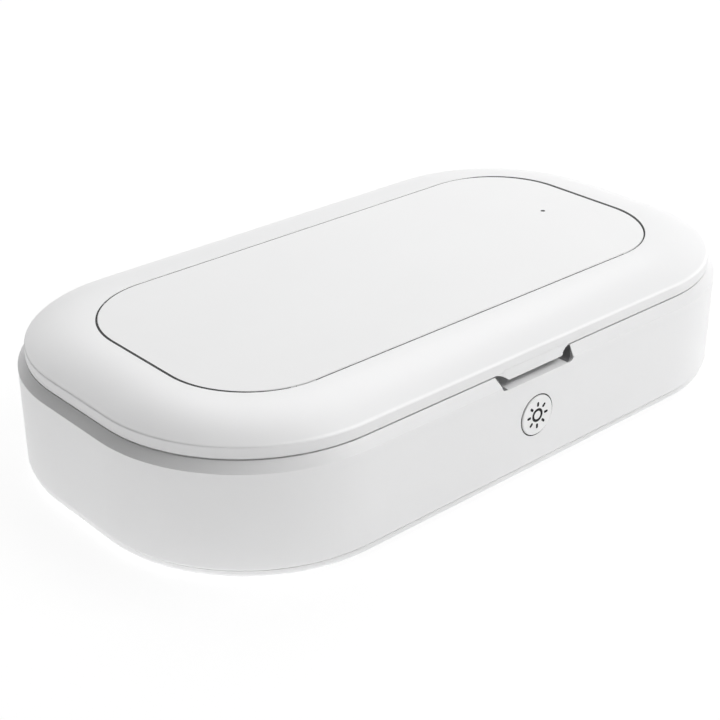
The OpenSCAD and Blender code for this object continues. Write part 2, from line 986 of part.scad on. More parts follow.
module tact_switch() {
    color("black")
        at_button()
            difference() {
                translate([-switch_half, -switch_half, switch_back])
                    cube([2 * switch_half, 2 * switch_half, switch_face - switch_back]);
                translate([0, 0, switch_face - 1.6 - button_travel])
                    cylinder(r = plunger_r + 0.1, h = 4);
            }
}

module power_button() {
    soft = 0.3;
    color("white")
        at_button()
            rotate_extrude()
                polygon([
                    [0, stem_end], [2, stem_end], [2, -2], [button_r - 1.4, -2],
                    [button_r - 1.4, -3.6], [button_flange_r, -3.6],
                    [button_flange_r, -shell_wall - 0.25], [button_r, -shell_wall - 0.25],
                    [button_r, button_proud - soft], [button_r - soft, button_proud],
                    [0, button_proud]]);
}

module switch_plunger() {
    color("dimgray")
        at_button()
            translate([0, 0, switch_face - 1])
                cylinder(r = plunger_r, h = stem_end - switch_face + 1);
}

module lid_sensor() {
    y = -corner_y - magnet_line;
    color("black")
        union() {
            block([sensor_x - 5, y - 2.4, flange_z - 1], [sensor_x + 5, y + 2.4, flange_z]);
            block([sensor_x - 2, y - 0.8, flange_z - 4], [sensor_x + 2, y + 0.8, flange_z - 0.8]);
        }
}

module base_magnets() {
    color("silver")
        for (sx = [-1, 1]) {
            post(sx * magnet_x, -corner_y - magnet_line, magnet_r,
                magnet_top_z - magnet_thick, magnet_top_z);
        }
}

module hinge_pins() {
    color("silver")
        for (side = [-1, 1]) {
            bar_x(side * hinge_x - hinge_length / 2, side * hinge_x + hinge_length / 2,
                hinge_y, hinge_z, pin_r);
        }
}

// Lid shell

// Height of the dome's outer face at a radius
function dome_z(r) = top_z - dome_r + sqrt(pow(dome_r, 2) - pow(r - flat_r, 2));

// Outer form of the lid in section, moved inward by skin and with no rounded edge
module dome_section(skin = 0) {
    low_z = lid_edge_z - (skin > 0 ? 1 : 0);
    square_between([0, low_z], [flat_r, top_z - skin]);
    intersection() {
        translate([flat_r, top_z - dome_r])
            circle(r = dome_r - skin);
        square_between([flat_r - small, low_z], [lid_r - skin, top_z]);
    }
}

// Lid in section with the edge between the rim and the dome rounded
module dome_outline() {
    along = lid_r - rim_fillet - flat_r;
    up = sqrt(pow(dome_r - rim_fillet, 2) - pow(along, 2));
    middle = [lid_r - rim_fillet, top_z - dome_r + up];
    out = [along, up] / (dome_r - rim_fillet);
    difference() {
        dome_section();
        polygon([middle, middle + [6, 0], middle + [6, 6], middle + 6 * out]);
    }
    intersection() {
        translate(middle)
            circle(r = rim_fillet);
        polygon([middle, middle + [2, 0], middle + [2, 2], middle + 2 * out]);
    }
}

module panel_recess() {
    slab(panel_half_x, panel_half_y, panel_radius, ledge_z, far);
    loop(panel_half_x - panel_radius, panel_half_y - panel_radius)
        polygon([
            [panel_radius - 2, top_z - edge_break], [panel_radius, top_z - edge_break],
            [panel_radius + edge_break + 1, top_z + 1], [panel_radius - 2, top_z + 1]]);
}

module lid_boss(point) {
    post(point[0], point[1], lid_boss_r, liner_top_z + lid_pad_h,
        dome_z(lid_screw_line + lid_boss_r) - 0.4);
}

// Front of the pull tab, drawn in Y and Z, with a hollow flare down to its lip
module tab_profile() {
    front_y = -corner_y - lid_r - tab_proud;
    tab_z = lid_edge_z - tab_drop;
    lip_y = front_y - 0.9;
    difference() {
        polygon([
            [front_y, lid_edge_z + 0.6], [front_y, lid_edge_z + 0.5],
            [lip_y, tab_z + 0.5], [lip_y, tab_z + 0.2], [lip_y + 0.2, tab_z],
            [tab_back_y, tab_z], [tab_back_y, lid_edge_z + 0.6]]);
        translate([front_y - flare_r + 0.05, lid_edge_z + 0.5])
            circle(r = flare_r);
    }
}

module pull_tab() {
    corner = 2.1;
    intersection() {
        along_x(0, tab_width)
            tab_profile();
        translate([0, tab_back_y + 1, lid_edge_z])
            rotate([90, 0, 0])
                linear_extrude(height = 6)
                    rounded(tab_width / 2, tab_drop, corner);
    }
}

module lid_knuckles() {
    for (side = [-1, 1]) {
        bar_x(side * hinge_x - lid_knuckle / 2, side * hinge_x + lid_knuckle / 2,
            hinge_y, hinge_z, barrel_r);
    }
}

// Room in the lid's rim for the base's knuckles
module knuckle_room() {
    inner_end = lid_knuckle / 2;
    reach = 2 * knuckle_gap + base_knuckle;
    for (side = [-1, 1], hand = [-1, 1]) {
        middle = side * hinge_x + hand * (inner_end + reach / 2);
        bar_x(middle - reach / 2, middle + reach / 2, hinge_y, hinge_z, barrel_r + barrel_gap);
    }
}

module lid_shell() {
    color("white")
        difference() {
            union() {
                difference() {
                    union() {
                        difference() {
                            loop()
                                dome_outline();
                            loop()
                                dome_section(shell_wall);
                            block([-corner_x, -corner_y, 0], [corner_x, corner_y, ledge_z]);
                        }
                        slab(panel_half_x + 3, panel_half_y + 3, panel_radius + 3,
                            ledge_z - ledge_thick, max(ledge_z, top_z - shell_wall) + small);
                        for (point = lid_points) {
                            lid_boss(point);
                        }
                    }
                    knuckle_room();
                }
                lid_knuckles();
                pull_tab();
            }
            panel_recess();
            slab(panel_half_x - ledge_width, panel_half_y - ledge_width,
                panel_radius - ledge_width, 0, far);
            pin_bores(pin_r + pin_fit);
            for (point = lid_points) {
                post(point[0], point[1], 0.9, liner_top_z, liner_top_z + 3.6);
            }
        }
}

module top_panel() {
    r = panel_radius - panel_gap;
    color("white")
        difference() {
            union() {
                loop(panel_half_x - panel_radius, panel_half_y - panel_radius)
                    polygon([
                        [0, ledge_z], [r, ledge_z], [r, top_z - edge_break],
                        [r - edge_break, top_z], [0, top_z]]);
                block([-panel_half_x + panel_radius, -panel_half_y + panel_radius, ledge_z],
                    [panel_half_x - panel_radius, panel_half_y - panel_radius, top_z]);
            }
            post(indicator_x, 0, light_hole_r, 0, far);
        }
}

module panel_light_pipe() {
    led_z = charger_z + charger_thick + 0.6;
    color("lightyellow")
        union() {
            post(indicator_x, 0, light_hole_r - 0.05, led_z, top_z - 0.1);
            post(indicator_x, 0, 1.6, led_z, ledge_z - 0.1);
        }
}

module charging_coil() {
    color("chocolate")
        difference() {
            post(0, 0, coil_r, ledge_z - coil_thick, ledge_z);
            post(0, 0, coil_hole_r, 0, far);
        }
}

module coil_shield() {
    color("dimgray")
        post(0, 0, shield_r, ledge_z - coil_thick - shield_thick, ledge_z - coil_thick);
}

module charging_board() {
    top = charger_z + charger_thick;
    color("seagreen")
        difference() {
            union() {
                block([charger_x[0], -charger_half_y, charger_z], [charger_x[1], charger_half_y, top]);
                block([indicator_x - 0.8, -0.8, top], [indicator_x + 0.8, 0.8, top + 0.5]);
                block([charger_x[0] + 6, 4, top], [charger_x[0] + 12, 10, top + 0.8]);
                block([charger_x[0] + 6, -10, top], [charger_x[0] + 11, -5, top + 0.8]);
            }
            for (x = [charger_x[0] + 3, charger_x[1] - 3], sy = [-1, 1]) {
                post(x, sy * (charger_half_y - 2.6), 1.1, charger_z - 1, top + 1);
            }
        }
}

module charger_screws() {
    color("silver")
        for (x = [charger_x[0] + 3, charger_x[1] - 3], sy = [-1, 1]) {
            translate([x, sy * (charger_half_y - 2.6), charger_z + charger_thick])
                mirror([0, 0, 1])
                    screw(0.78, charger_thick + 1.6, 1.8, 0.7);
        }
}

// Lid liner with its baffle, lamp trough and bosses

module lid_liner() {
    color("gainsboro")
        difference() {
            union() {
                plate(liner_r, liner_z, liner_top_z);
                loop()
                    polygon([
                        [baffle_r - baffle_thick, liner_z + 0.2], [baffle_r, liner_z + 0.2],
                        [baffle_r - 0.3, liner_z - baffle_drop],
                        [baffle_r - baffle_thick + 0.3, liner_z - baffle_drop]]);
                slab(trough_half_x + 1, lid_trough_half_y + 1, 3, liner_z, lid_trough_z);
                for (point = lid_points) {
                    post(point[0], point[1], lid_boss_r + 0.6, liner_z, liner_top_z + lid_pad_h);
                }
                for (x = [charger_x[0] + 3, charger_x[1] - 3], sy = [-1, 1]) {
                    post(x, sy * (charger_half_y - 2.6), 2.2, liner_z, charger_z);
                }
                for (sx = [-1, 1]) {
                    post(sx * magnet_x, -corner_y - magnet_line, magnet_r + 1, liner_z,
                        liner_top_z + 1);
                }
            }
            slab(trough_half_x, lid_trough_half_y, 2, 0, lid_trough_roof);
            for (point = lid_points) {
                post(point[0], point[1], 1.3, 0, far);
                post(point[0], point[1], lid_head_r + 0.3, 0, liner_top_z);
            }
            for (x = [charger_x[0] + 3, charger_x[1] - 3], sy = [-1, 1]) {
                post(x, sy * (charger_half_y - 2.6), 0.8, liner_z + 0.8, far);
            }
            for (sx = [-1, 1]) {
                post(sx * magnet_x, -corner_y - magnet_line, magnet_r + 0.1, liner_top_z, far);
            }
            knuckle_room();
        }
}

module lid_magnets() {
    color("silver")
        for (sx = [-1, 1]) {
            post(sx * magnet_x, -corner_y - magnet_line, magnet_r, liner_top_z,
                liner_top_z + lid_magnet_thick);
        }
}

module lid_screws() {
    color("silver")
        for (point = lid_points) {
            translate([point[0], point[1], liner_top_z])
                screw(lid_shank_r - 0.2, 3.4, lid_head_r, lid_head_h);
        }
}

base_shell();
bottom_cover();
rubber_feet();
cover_screws();
chamber_tray();
chamber_seal();
lid_bumpers();
lower_reflector();
lower_uv_lamp();
lower_lamp_caps();
lower_lamp_clips();
phone_rack();
control_board();
lamp_transformer();
board_screws();
usb_socket();
usb_tongue();
button_board();
button_screws();
tact_switch();
lid_sensor();
base_magnets();
hinge_pins();
power_button();
switch_plunger();
lid_shell();
top_panel();
panel_light_pipe();
charging_coil();
coil_shield();
charging_board();
charger_screws();
lid_liner();
upper_reflector();
upper_uv_lamp();
upper_lamp_caps();
upper_lamp_clips();
lid_magnets();
lid_screws();
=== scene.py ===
import bpy
import bmesh
import json
import math
import random
from mathutils import Matrix, Vector


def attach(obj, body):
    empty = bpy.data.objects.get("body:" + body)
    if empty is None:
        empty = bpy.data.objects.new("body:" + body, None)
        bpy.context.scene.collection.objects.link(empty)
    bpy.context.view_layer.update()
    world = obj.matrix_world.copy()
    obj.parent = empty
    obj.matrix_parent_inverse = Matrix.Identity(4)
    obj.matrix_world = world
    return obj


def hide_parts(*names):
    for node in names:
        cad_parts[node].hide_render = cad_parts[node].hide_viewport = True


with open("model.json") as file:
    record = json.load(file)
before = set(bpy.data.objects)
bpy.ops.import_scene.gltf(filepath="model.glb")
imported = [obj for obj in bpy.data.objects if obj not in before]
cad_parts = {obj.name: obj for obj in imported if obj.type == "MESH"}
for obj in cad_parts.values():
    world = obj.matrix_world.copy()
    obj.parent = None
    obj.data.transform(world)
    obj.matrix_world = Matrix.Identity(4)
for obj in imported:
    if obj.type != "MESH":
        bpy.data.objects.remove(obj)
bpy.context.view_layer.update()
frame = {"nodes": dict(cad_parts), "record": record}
nodes = frame["nodes"]

# Shapes are written in millimetres; Blender's unit is the metre
MM = 0.001

# ---------------------------------------------------------------- places in the CAD model

# Centres of the corner arcs of the wall and the rim, and of the charging panel
BODY_CORNER = (64.0, 14.0)
PANEL_CORNER = (63.1, 13.9)
# Corner radii of the panel's edge and of its recess in the lid
PANEL_RADIUS, RECESS_RADIUS = 27.35, 27.8
PANEL_TOP = 45.6
INDICATOR_X = 70.9

FRONT_Y = -64
BUTTON_Z = 20.6
HINGE_X, HINGE_Y, HINGE_Z = 40, 61.6, 37.5
LOWER_LAMP_Z, UPPER_LAMP_Z = 9.7, 37.3

# Upper faces of the two boards, and their screws
CONTROL_TOP, CHARGER_TOP = 7.0, 42.4
CONTROL_SCREWS = [(x, y) for x in (-37, 37) for y in (19.9, 37.9)]
CHARGER_SCREWS = [(x, y) for x in (43.9, 79.9) for y in (-14.4, 14.4)]
COVER_SCREWS = [(54, 55.6), (-54, 55.6), (54, -55.6), (-54, -55.6), (105.6, 0), (-105.6, 0)]
LID_SCREWS = [(25, 53.5), (-25, 53.5), (25, -53.5), (-25, -53.5), (103.5, 0), (-103.5, 0)]

# ---------------------------------------------------------------- node helpers


def empty_tree(owner, output):
    """Empties the node tree of a material or world; returns it with the output's surface socket."""
    owner.use_nodes = True
    t = owner.node_tree
    t.nodes.clear()
    return t, t.nodes.new(output).inputs["Surface"]


def feed(t, node, inputs):
    """Sets inputs of a node; a value that is a socket is linked."""
    for key, value in inputs.items():
        if isinstance(value, bpy.types.NodeSocket):
            t.links.new(value, node.inputs[key])
        else:
            node.inputs[key].default_value = value


def add_node(t, kind, inputs=(), **settings):
    node = t.nodes.new("ShaderNode" + kind)
    for key, value in settings.items():
        setattr(node, key, value)
    feed(t, node, dict(inputs))
    return node


def new_material(name):
    m = bpy.data.materials.new(name)
    t, surface = empty_tree(m, "ShaderNodeOutputMaterial")
    shader = add_node(t, "BsdfPrincipled")
    t.links.new(shader.outputs["BSDF"], surface)
    return m, t, shader


def maths(t, operation, *values):
    return add_node(t, "Math", enumerate(values), operation=operation).outputs[0]


def clamp(t, value):
    """The value, kept between 0 and 1."""
    return maths(t, "MINIMUM", maths(t, "MAXIMUM", value, 0.0), 1.0)


def noise(t, vector, scale, detail=2.0, rough=0.5):
    values = {"Vector": vector, "Scale": scale, "Detail": detail, "Roughness": rough}
    return add_node(t, "TexNoise", values).outputs["Fac"]


def remap(t, value, low, high):
    return add_node(t, "MapRange", {"Value": value, "To Min": low, "To Max": high}).outputs["Result"]


def mix_colour(t, factor, a, b):
    """Mix of two colours, of which each may be a socket."""
    a, b = (c if isinstance(c, bpy.types.NodeSocket) else (*c, 1) for c in (a, b))
    return add_node(t, "Mix", {"Factor": factor, "A": a, "B": b}, data_type="RGBA").outputs["Result"]


def bump(t, height, distance, strength=1.0, **normal):
    values = {"Height": height, "Distance": distance, "Strength": strength, **normal}
    return add_node(t, "Bump", values).outputs["Normal"]


def object_vector(t, scale=(1, 1, 1)):
    place = add_node(t, "TexCoord").outputs["Object"]
    return add_node(t, "Mapping", {"Vector": place, "Scale": scale}).outputs["Vector"]


def axes(t, place):
    return add_node(t, "SeparateXYZ", {0: place}).outputs


def from_corners(t, x, y, corner):
    """Distance from the corner centres of a rounded oblong, with its two signed parts, in metres."""
    over = []
    for value, centre in zip((x, y), corner):
        past = maths(t, "MAXIMUM", maths(t, "SUBTRACT", maths(t, "ABSOLUTE", value), centre * MM), 0.0)
        over.append(maths(t, "MULTIPLY", past, maths(t, "SIGN", value)))
    squares = [maths(t, "MULTIPLY", part, part) for part in over]
    return maths(t, "SQRT", maths(t, "ADD", *squares)), *over


def outward(t, away, *over):
    """Parts of the outward direction, from what from_corners gives."""
    length = maths(t, "MAXIMUM", away, MM)
    return [maths(t, "DIVIDE", part, length) for part in over]


# ---------------------------------------------------------------- materials

# Noise scales that all mouldings share: cloudy tint, uneven gloss and slow ripple of the surface
CLOUD_SCALE, GLOSS_SCALE, RIPPLE_SCALE = 28, 160, 60


def moulded(name, colour, rough, grain=2500, depth=0.000012, spread=0.05, tint=0.02, **sockets):
    """Injection moulded or cast surface: faint cloudy tint, uneven gloss and a fine eroded grain."""
    m, t, shader = new_material(name)
    v = object_vector(t)
    dark = [max(0.0, c * (1 - tint)) for c in colour]
    light = [min(1.0, c * (1 + tint * 0.4)) for c in colour]
    first = bump(t, noise(t, v, grain, 3, 0.6), depth)
    feed(t, shader, {
        "Base Color": mix_colour(t, noise(t, v, CLOUD_SCALE, 3), dark, light),
        "Roughness": remap(t, noise(t, v, GLOSS_SCALE, 3), rough - spread, rough + spread),
        "Normal": bump(t, noise(t, v, RIPPLE_SCALE, 1), depth * 1.5, 0.4, Normal=first),
        **{key.replace("_", " "): value for key, value in sockets.items()}})
    return m


def metal(name, colour, rough, stretch=(1, 1, 1), grain=3000, depth=0.000006, spread=0.06):
    """Plated or rolled metal, with a drawn or brushed grain when stretch isn't even."""
    m, t, shader = new_material(name)
    v = object_vector(t, stretch)
    dark = [c * 0.9 for c in colour]
    feed(t, shader, {
        "Base Color": mix_colour(t, noise(t, v, grain * 0.2, 4), dark, colour),
        "Roughness": remap(t, noise(t, v, grain * 0.5, 3), rough - spread, rough + spread),
        "Normal": bump(t, noise(t, v, grain, 2), depth),
        "Metallic": 1.0})
    return m


# Colour, roughness and finish of each slot. The outer shells keep a roughness over 0.3, because
# glossier ones reflect the plain white world in blotches
WHITE = (0.86, 0.86, 0.863)
SHELL_FINISH = {"spread": 0.03, "grain": 3200, "depth": 0.000006, "Specular_IOR_Level": 0.5}
MOULDINGS = {
    "shell_white": (WHITE, 0.36, SHELL_FINISH),
    "panel_white": ((0.865, 0.865, 0.866), 0.55, {"grain": 1500, "depth": 0.00003}),
    "button_white": ((0.89, 0.89, 0.89), 0.36, {"spread": 0.03, "grain": 3200, "depth": 0.000005}),
    "liner_grey": ((0.70, 0.71, 0.725), 0.32, {"grain": 2600, "depth": 0.00001}),
    "foot_rubber": ((0.26, 0.26, 0.27), 0.75, {"grain": 2200, "depth": 0.00004}),
    "seal_rubber": ((0.55, 0.55, 0.56), 0.6, {"grain": 1800, "depth": 0.00002}),
    "lamp_cap_white": ((0.83, 0.83, 0.81), 0.4, {"grain": 2000, "depth": 0.000015}),
    "board_green": ((0.03, 0.22, 0.09), 0.35, {"grain": 900, "depth": 0.00002}),
    "part_black": ((0.03, 0.03, 0.032), 0.5, {"grain": 2500, "depth": 0.00002}),
    "plunger_grey": ((0.2, 0.2, 0.2), 0.5, {}),
    "core_grey": ((0.13, 0.13, 0.14), 0.7, {"grain": 1400, "depth": 0.00005}),
    "light_clear": ((0.035, 0.035, 0.034), 0.3, {}),
    "lamp_glass": (
        (0.93, 0.95, 0.97), 0.05,
        {"tint": 0.01, "spread": 0.02, "Transmission_Weight": 0.9, "IOR": 1.46})}
METALS = {
    "steel": ((0.62, 0.62, 0.63), 0.3, {}),
    "reflector_aluminium": ((0.88, 0.885, 0.89), 0.2, {"stretch": (0.05, 1, 1)}),
    "rack_chrome": ((0.78, 0.785, 0.79), 0.12, {"spread": 0.03}),
    "coil_copper": ((0.82, 0.42, 0.2), 0.3, {}),
    "magnet_nickel": ((0.72, 0.7, 0.66), 0.2, {})}
MATS = {
    name: make(name, colour, rough, **finish)
    for make, table in ((moulded, MOULDINGS), (metal, METALS))
    for name, (colour, rough, finish) in table.items()}

# Materials that belong to no slot of the record by themselves
LID_WHITE = moulded("lid_white", WHITE, 0.36, **SHELL_FINISH)
PRINT = moulded(
    "icon_print", (0.008, 0.008, 0.009), 0.6, grain=4000, depth=0.000004, tint=0.15, Specular_IOR_Level=0.25)
# Dark material for pieces that stand in for the shade inside narrow gaps
SHADE_FILLER = moulded(
    "dark_shade_filler", (0.02, 0.02, 0.021), 0.7, grain=2600, depth=0.00001, tint=0.2, Specular_IOR_Level=0.25)
# Dark material for sheets that stand in for the shade in the notch
NOTCH_SHADE = moulded(
    "notch_shade_sheet", (0.2, 0.2, 0.203), 0.8, grain=2200, depth=0.00003, tint=0.1, Specular_IOR_Level=0.3)
GOLD = metal("contact_gold", (0.95, 0.68, 0.3), 0.22)

# The seam round the charging panel carries painted shade and a dark bead, both strongest at its two ends,
# which lie along this direction
SEAM_SHADE_WAY = (math.cos(math.radians(12)), math.sin(math.radians(12)))
SEAM_SHADE_FROM, SEAM_SHADE_TO, SEAM_SHADE_POWER = 0.35, 0.95, 1.8

# Colour of the painted seam shade, which the indicator's dark ring shares, and the lowest height of that
# shade
DARK_EDGE_COLOUR = (0.02, 0.02, 0.021)
SEAM_SHADE_LOWEST = 45.0


def paint(m, on, colour):
    """Lays a colour over a material's own where `on` is 1."""
    t = m.node_tree
    base = next(n for n in t.nodes if n.type == "BSDF_PRINCIPLED").inputs["Base Color"]
    t.links.new(mix_colour(t, on, base.links[0].from_socket, colour), base)


def paint_seam_shade(m, radius, width, end_share):
    """Painted shade: a dark band over an edge of the panel's seam, inward for a negative width and else
    outward.
    """
    t = m.node_tree
    x, y, z = axes(t, object_vector(t))
    away, *over = from_corners(t, x, y, PANEL_CORNER)
    out = outward(t, away, *over)
    across = maths(t, "ADD", *(maths(t, "MULTIPLY", part, way) for part, way in zip(out, SEAM_SHADE_WAY)))
    seam_shade = maths(t, "SUBTRACT", maths(t, "ABSOLUTE", across), SEAM_SHADE_FROM)
    seam_shade = clamp(t, maths(t, "DIVIDE", seam_shade, SEAM_SHADE_TO - SEAM_SHADE_FROM))
    seam_shade = maths(t, "POWER", seam_shade, SEAM_SHADE_POWER)
    wide = maths(t, "MULTIPLY_ADD", out[0], end_share * width * MM, width * MM)
    edge = maths(t, "ADD", radius * MM, maths(t, "MULTIPLY", seam_shade, wide))
    on = maths(t, "GREATER_THAN" if width < 0 else "LESS_THAN", away, edge)
    paint(m, maths(t, "MULTIPLY", on, maths(t, "GREATER_THAN", z, SEAM_SHADE_LOWEST * MM)), DARK_EDGE_COLOUR)


def paint_rim_highlight(m, colour, radius, height, half_band, core=1.3, fade=(2.5, 1.55)):
    """Painted highlight: a paler line along the upper edge of the lid's rim, but not at its left end.

    It is full over (core - 1) / core of its half width, and fades to nothing at the half width.
    """
    t = m.node_tree
    x, y, z = axes(t, object_vector(t))
    away, over_x, _ = from_corners(t, x, y, BODY_CORNER)
    out_x, = outward(t, away, over_x)
    off = maths(t, "ABSOLUTE", maths(t, "SUBTRACT", z, height * MM))
    on = clamp(t, maths(t, "SUBTRACT", core, maths(t, "DIVIDE", off, half_band / core * MM)))
    on = maths(t, "MULTIPLY", on, maths(t, "GREATER_THAN", away, radius * MM))
    paint(m, maths(t, "MULTIPLY", on, clamp(t, maths(t, "MULTIPLY_ADD", out_x, *fade))), colour)


def dark_ring(m, centre, radius):
    """Dark rim round the indicator's hole."""
    t = m.node_tree
    ends = {0: object_vector(t), 1: [c * MM for c in centre]}
    away = add_node(t, "VectorMath", ends, operation="DISTANCE").outputs["Value"]
    paint(m, maths(t, "LESS_THAN", away, radius * MM), DARK_EDGE_COLOUR)


# Painted shade along the panel's side of the seam
paint_seam_shade(MATS["panel_white"], PANEL_RADIUS, width=-0.2, end_share=0.0)
dark_ring(MATS["panel_white"], (INDICATOR_X, 0.0, PANEL_TOP), radius=0.78)
# Painted highlight along the upper edge of the lid's rim
paint_rim_highlight(LID_WHITE, (0.99, 0.99, 0.99), radius=46.0, height=40.85, half_band=0.45)
# Painted shade along the lid's side of the seam, wider at the right end
paint_seam_shade(LID_WHITE, RECESS_RADIUS, width=0.375, end_share=0.6)

record_slot = {row["node"]: row["material_slot"] for row in frame["record"]["subparts"]}
for node_name, cad_node in nodes.items():
    cad_node.data.materials.clear()
    cad_node.data.materials.append(LID_WHITE if node_name == "lid_shell" else MATS[record_slot[node_name]])
    for face in cad_node.data.polygons:
        face.material_index = 0

# ---------------------------------------------------------------- shapes

# Signs and first angle of each quarter of an outline
QUARTERS = ((1, 1, 0), (-1, 1, 90), (-1, -1, 180), (1, -1, 270))


class Shape:
    """Collects points and faces, in millimetres, for one piece."""

    def __init__(self):
        self.points = []
        self.faces = []

    def add(self, part, place=None):
        points, faces = part
        first = len(self.points)
        for p in points:
            v = Vector(p)
            self.points.append(place @ v if place is not None else v)
        self.faces.extend([first + i for i in face] for face in faces)

    def piece(self, name, slot, body, replaces=(), material=None, sharp=32):
        mesh = bpy.data.meshes.new(name)
        mesh.from_pydata([p * MM for p in self.points], [], self.faces)
        bm = bmesh.new()
        bm.from_mesh(mesh)
        bmesh.ops.recalc_face_normals(bm, faces=bm.faces)
        bm.to_mesh(mesh)
        bm.free()
        mesh.polygons.foreach_set("use_smooth", [True] * len(mesh.polygons))
        mesh.set_sharp_from_angle(angle=math.radians(sharp))
        mesh.materials.append(material or MATS[slot])
        obj = bpy.data.objects.new(name, mesh)
        bpy.context.scene.collection.objects.link(obj)
        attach(obj, body)
        if replaces:
            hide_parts(*replaces)


def rings_to_mesh(rings, cap=True):
    """Joins rings of equally many points into quads, with a fan at each end."""
    count = len(rings[0])
    points = [p for ring in rings for p in ring]
    faces = []
    for r in range(len(rings) - 1):
        for i in range(count):
            j = (i + 1) % count
            faces.append((r * count + i, r * count + j, (r + 1) * count + j, (r + 1) * count + i))
    for ring in (0, len(rings) - 1) if cap else ():
        points.append(sum((Vector(p) for p in rings[ring]), Vector()) / count)
        for i in range(count):
            faces.append((ring * count + i, ring * count + (i + 1) % count, len(points) - 1))
    return points, faces


def ring_at(z, angles, radius):
    """Ring of points at a height; radius is one value or one for each angle."""
    radii = radius if isinstance(radius, list) else [radius] * len(angles)
    return [(r * math.cos(a), r * math.sin(a), z) for r, a in zip(radii, angles)]


def lathe(profile, sides=48, cap=True):
    """Turns (radius, z) points about Z."""
    angles = [2 * math.pi * i / sides for i in range(sides)]
    return rings_to_mesh([ring_at(z, angles, r) for r, z in profile], cap)


def hollow(profile, sides=48):
    """Turns a closed (radius, z) outline about Z, with nothing at the axis."""
    return lathe([*profile, profile[0]], sides, cap=False)


def both_ends(half):
    """Outline of a bar with two like ends, from the (radius, z) points of its upper one, tip first."""
    return [(r, -z) for r, z in half] + half[::-1]


def tube(path, radius, sides=10):
    """Round wire along a path."""
    path = [Vector(p) for p in path]
    rings = []
    normal = None
    for i, p in enumerate(path):
        ahead = path[min(i + 1, len(path) - 1)] - path[max(i - 1, 0)]
        ahead.normalize()
        if normal is None:
            normal = ahead.orthogonal().normalized()
        normal = (normal - ahead * normal.dot(ahead)).normalized()
        side = ahead.cross(normal)
        angles = [2 * math.pi * k / sides for k in range(sides)]
        rings.append([p + radius * (math.cos(a) * normal + math.sin(a) * side) for a in angles])
    return rings_to_mesh(rings)


def outline_block(outline, z0, z1, break_edge=0.1):
    """Upright block on an outline, with its top and bottom edges broken."""
    centre = sum((Vector(p) for p in outline), Vector((0, 0))) / len(outline)

    def ring(inset, z):
        out = []
        for p in outline:
            away = Vector(p) - centre
            k = max(0.0, 1 - inset / max(away.length, 1e-6))
            out.append((centre.x + away.x * k, centre.y + away.y * k, z))
        return out

    b = min(break_edge, (z1 - z0) / 3)
    return rings_to_mesh([ring(b, z0), ring(0, z0 + b), ring(0, z1 - b), ring(b, z1)])


def rounded_outline(x, y, half_x, half_y, r, steps=5):
    out = []
    for sx, sy, start in QUARTERS:
        for i in range(steps + 1):
            a = math.radians(start + 90 * i / steps)
            out.append((x + sx * (half_x - r) + r * math.cos(a), y + sy * (half_y - r) + r * math.sin(a)))
    return out


def oblong(x0, y0, x1, y1):
    return [(x0, y0), (x1, y0), (x1, y1), (x0, y1)]


def chip_block(low, high, r=0.15, break_edge=0.08):
    middle = [(a + b) / 2 for a, b in zip(low, high)]
    half = [(b - a) / 2 for a, b in zip(low, high)]
    corner = min(r, half[0] * 0.9, half[1] * 0.9)
    outline = rounded_outline(middle[0], middle[1], half[0], half[1], corner, 3)
    return outline_block(outline, low[2], high[2], break_edge)


def at(x, y, z, turn=None):
    m = Matrix.Translation((x, y, z))
    return m @ turn if turn is not None else m


FLIP = Matrix.Rotation(math.pi, 4, "X")
ALONG_X = Matrix.Rotation(math.pi / 2, 4, "Y")
OUT_FRONT = Matrix.Rotation(math.pi / 2, 4, "X")
BUTTON = at(0, FRONT_Y, BUTTON_Z, OUT_FRONT)

# ---------------------------------------------------------------- fasteners


def recess_radius(a, arm, width):
    """Radius of a cross with four arms in the direction a."""
    c, s = abs(math.cos(a)), abs(math.sin(a))
    big, low = max(c, s), min(c, s)
    return arm / big if low * arm <= width * big else width / max(low, 1e-6)


def screw(shank_r, length, head_r, head_h, pitch, point):
    """Pan head screw with a cross recess and a rolled thread, seated at z = 0 with its shank upward."""
    arm, width = head_r * 0.5, head_r * 0.15
    corner = math.degrees(math.atan2(width, arm))
    steps = [0, corner, (corner + 45) / 2, 45, (135 - corner) / 2, 90 - corner]
    angles = [math.radians(90 * q + a) for q in range(4) for a in steps]

    def circle(r, z):
        return ring_at(z, angles, r)

    def cross(k, z):
        return ring_at(z, angles, [k * recess_radius(a, arm, width) for a in angles])

    # Recess from its floor up to the crown of the head, then the head's dome and seat
    top = -head_h
    rings = [cross(0.45, top + head_h * 0.62), cross(0.8, top + head_h * 0.5), cross(1, top + 0.06)]
    rings += [cross(1.06, top), circle(head_r * 0.66, top)]
    for t in (0.35, 0.7, 1.05, 1.4):
        rings.append(circle(head_r * (0.66 + 0.34 * math.sin(t)), top * (0.3 + 0.7 * math.cos(t))))
    rings += [circle(head_r, top * 0.18), circle(head_r * 0.985, 0), circle(shank_r * 1.02, 0)]

    # Thread, which fades in and out over its ends
    core = shank_r * 0.78
    first = 0.5
    z = first
    while z < length - (shank_r if point else 0.2):
        radii = []
        for a in angles:
            phase = (z / pitch - a / (2 * math.pi)) % 1.0
            ridge = max(0.0, 1 - abs(phase - 0.5) * 3.2)
            fade = min(1.0, (z - first) / pitch, (length - z) / (shank_r * 1.5))
            radii.append(core + (shank_r - core) * ridge * max(fade, 0.0))
        rings.append(ring_at(z, angles, radii))
        z += pitch / 6
    rings.append(circle(core * 0.9, length - (shank_r * 0.8 if point else 0.12)))
    rings.append(circle(core * (0.2 if point else 0.8), length))
    return rings_to_mesh(rings)


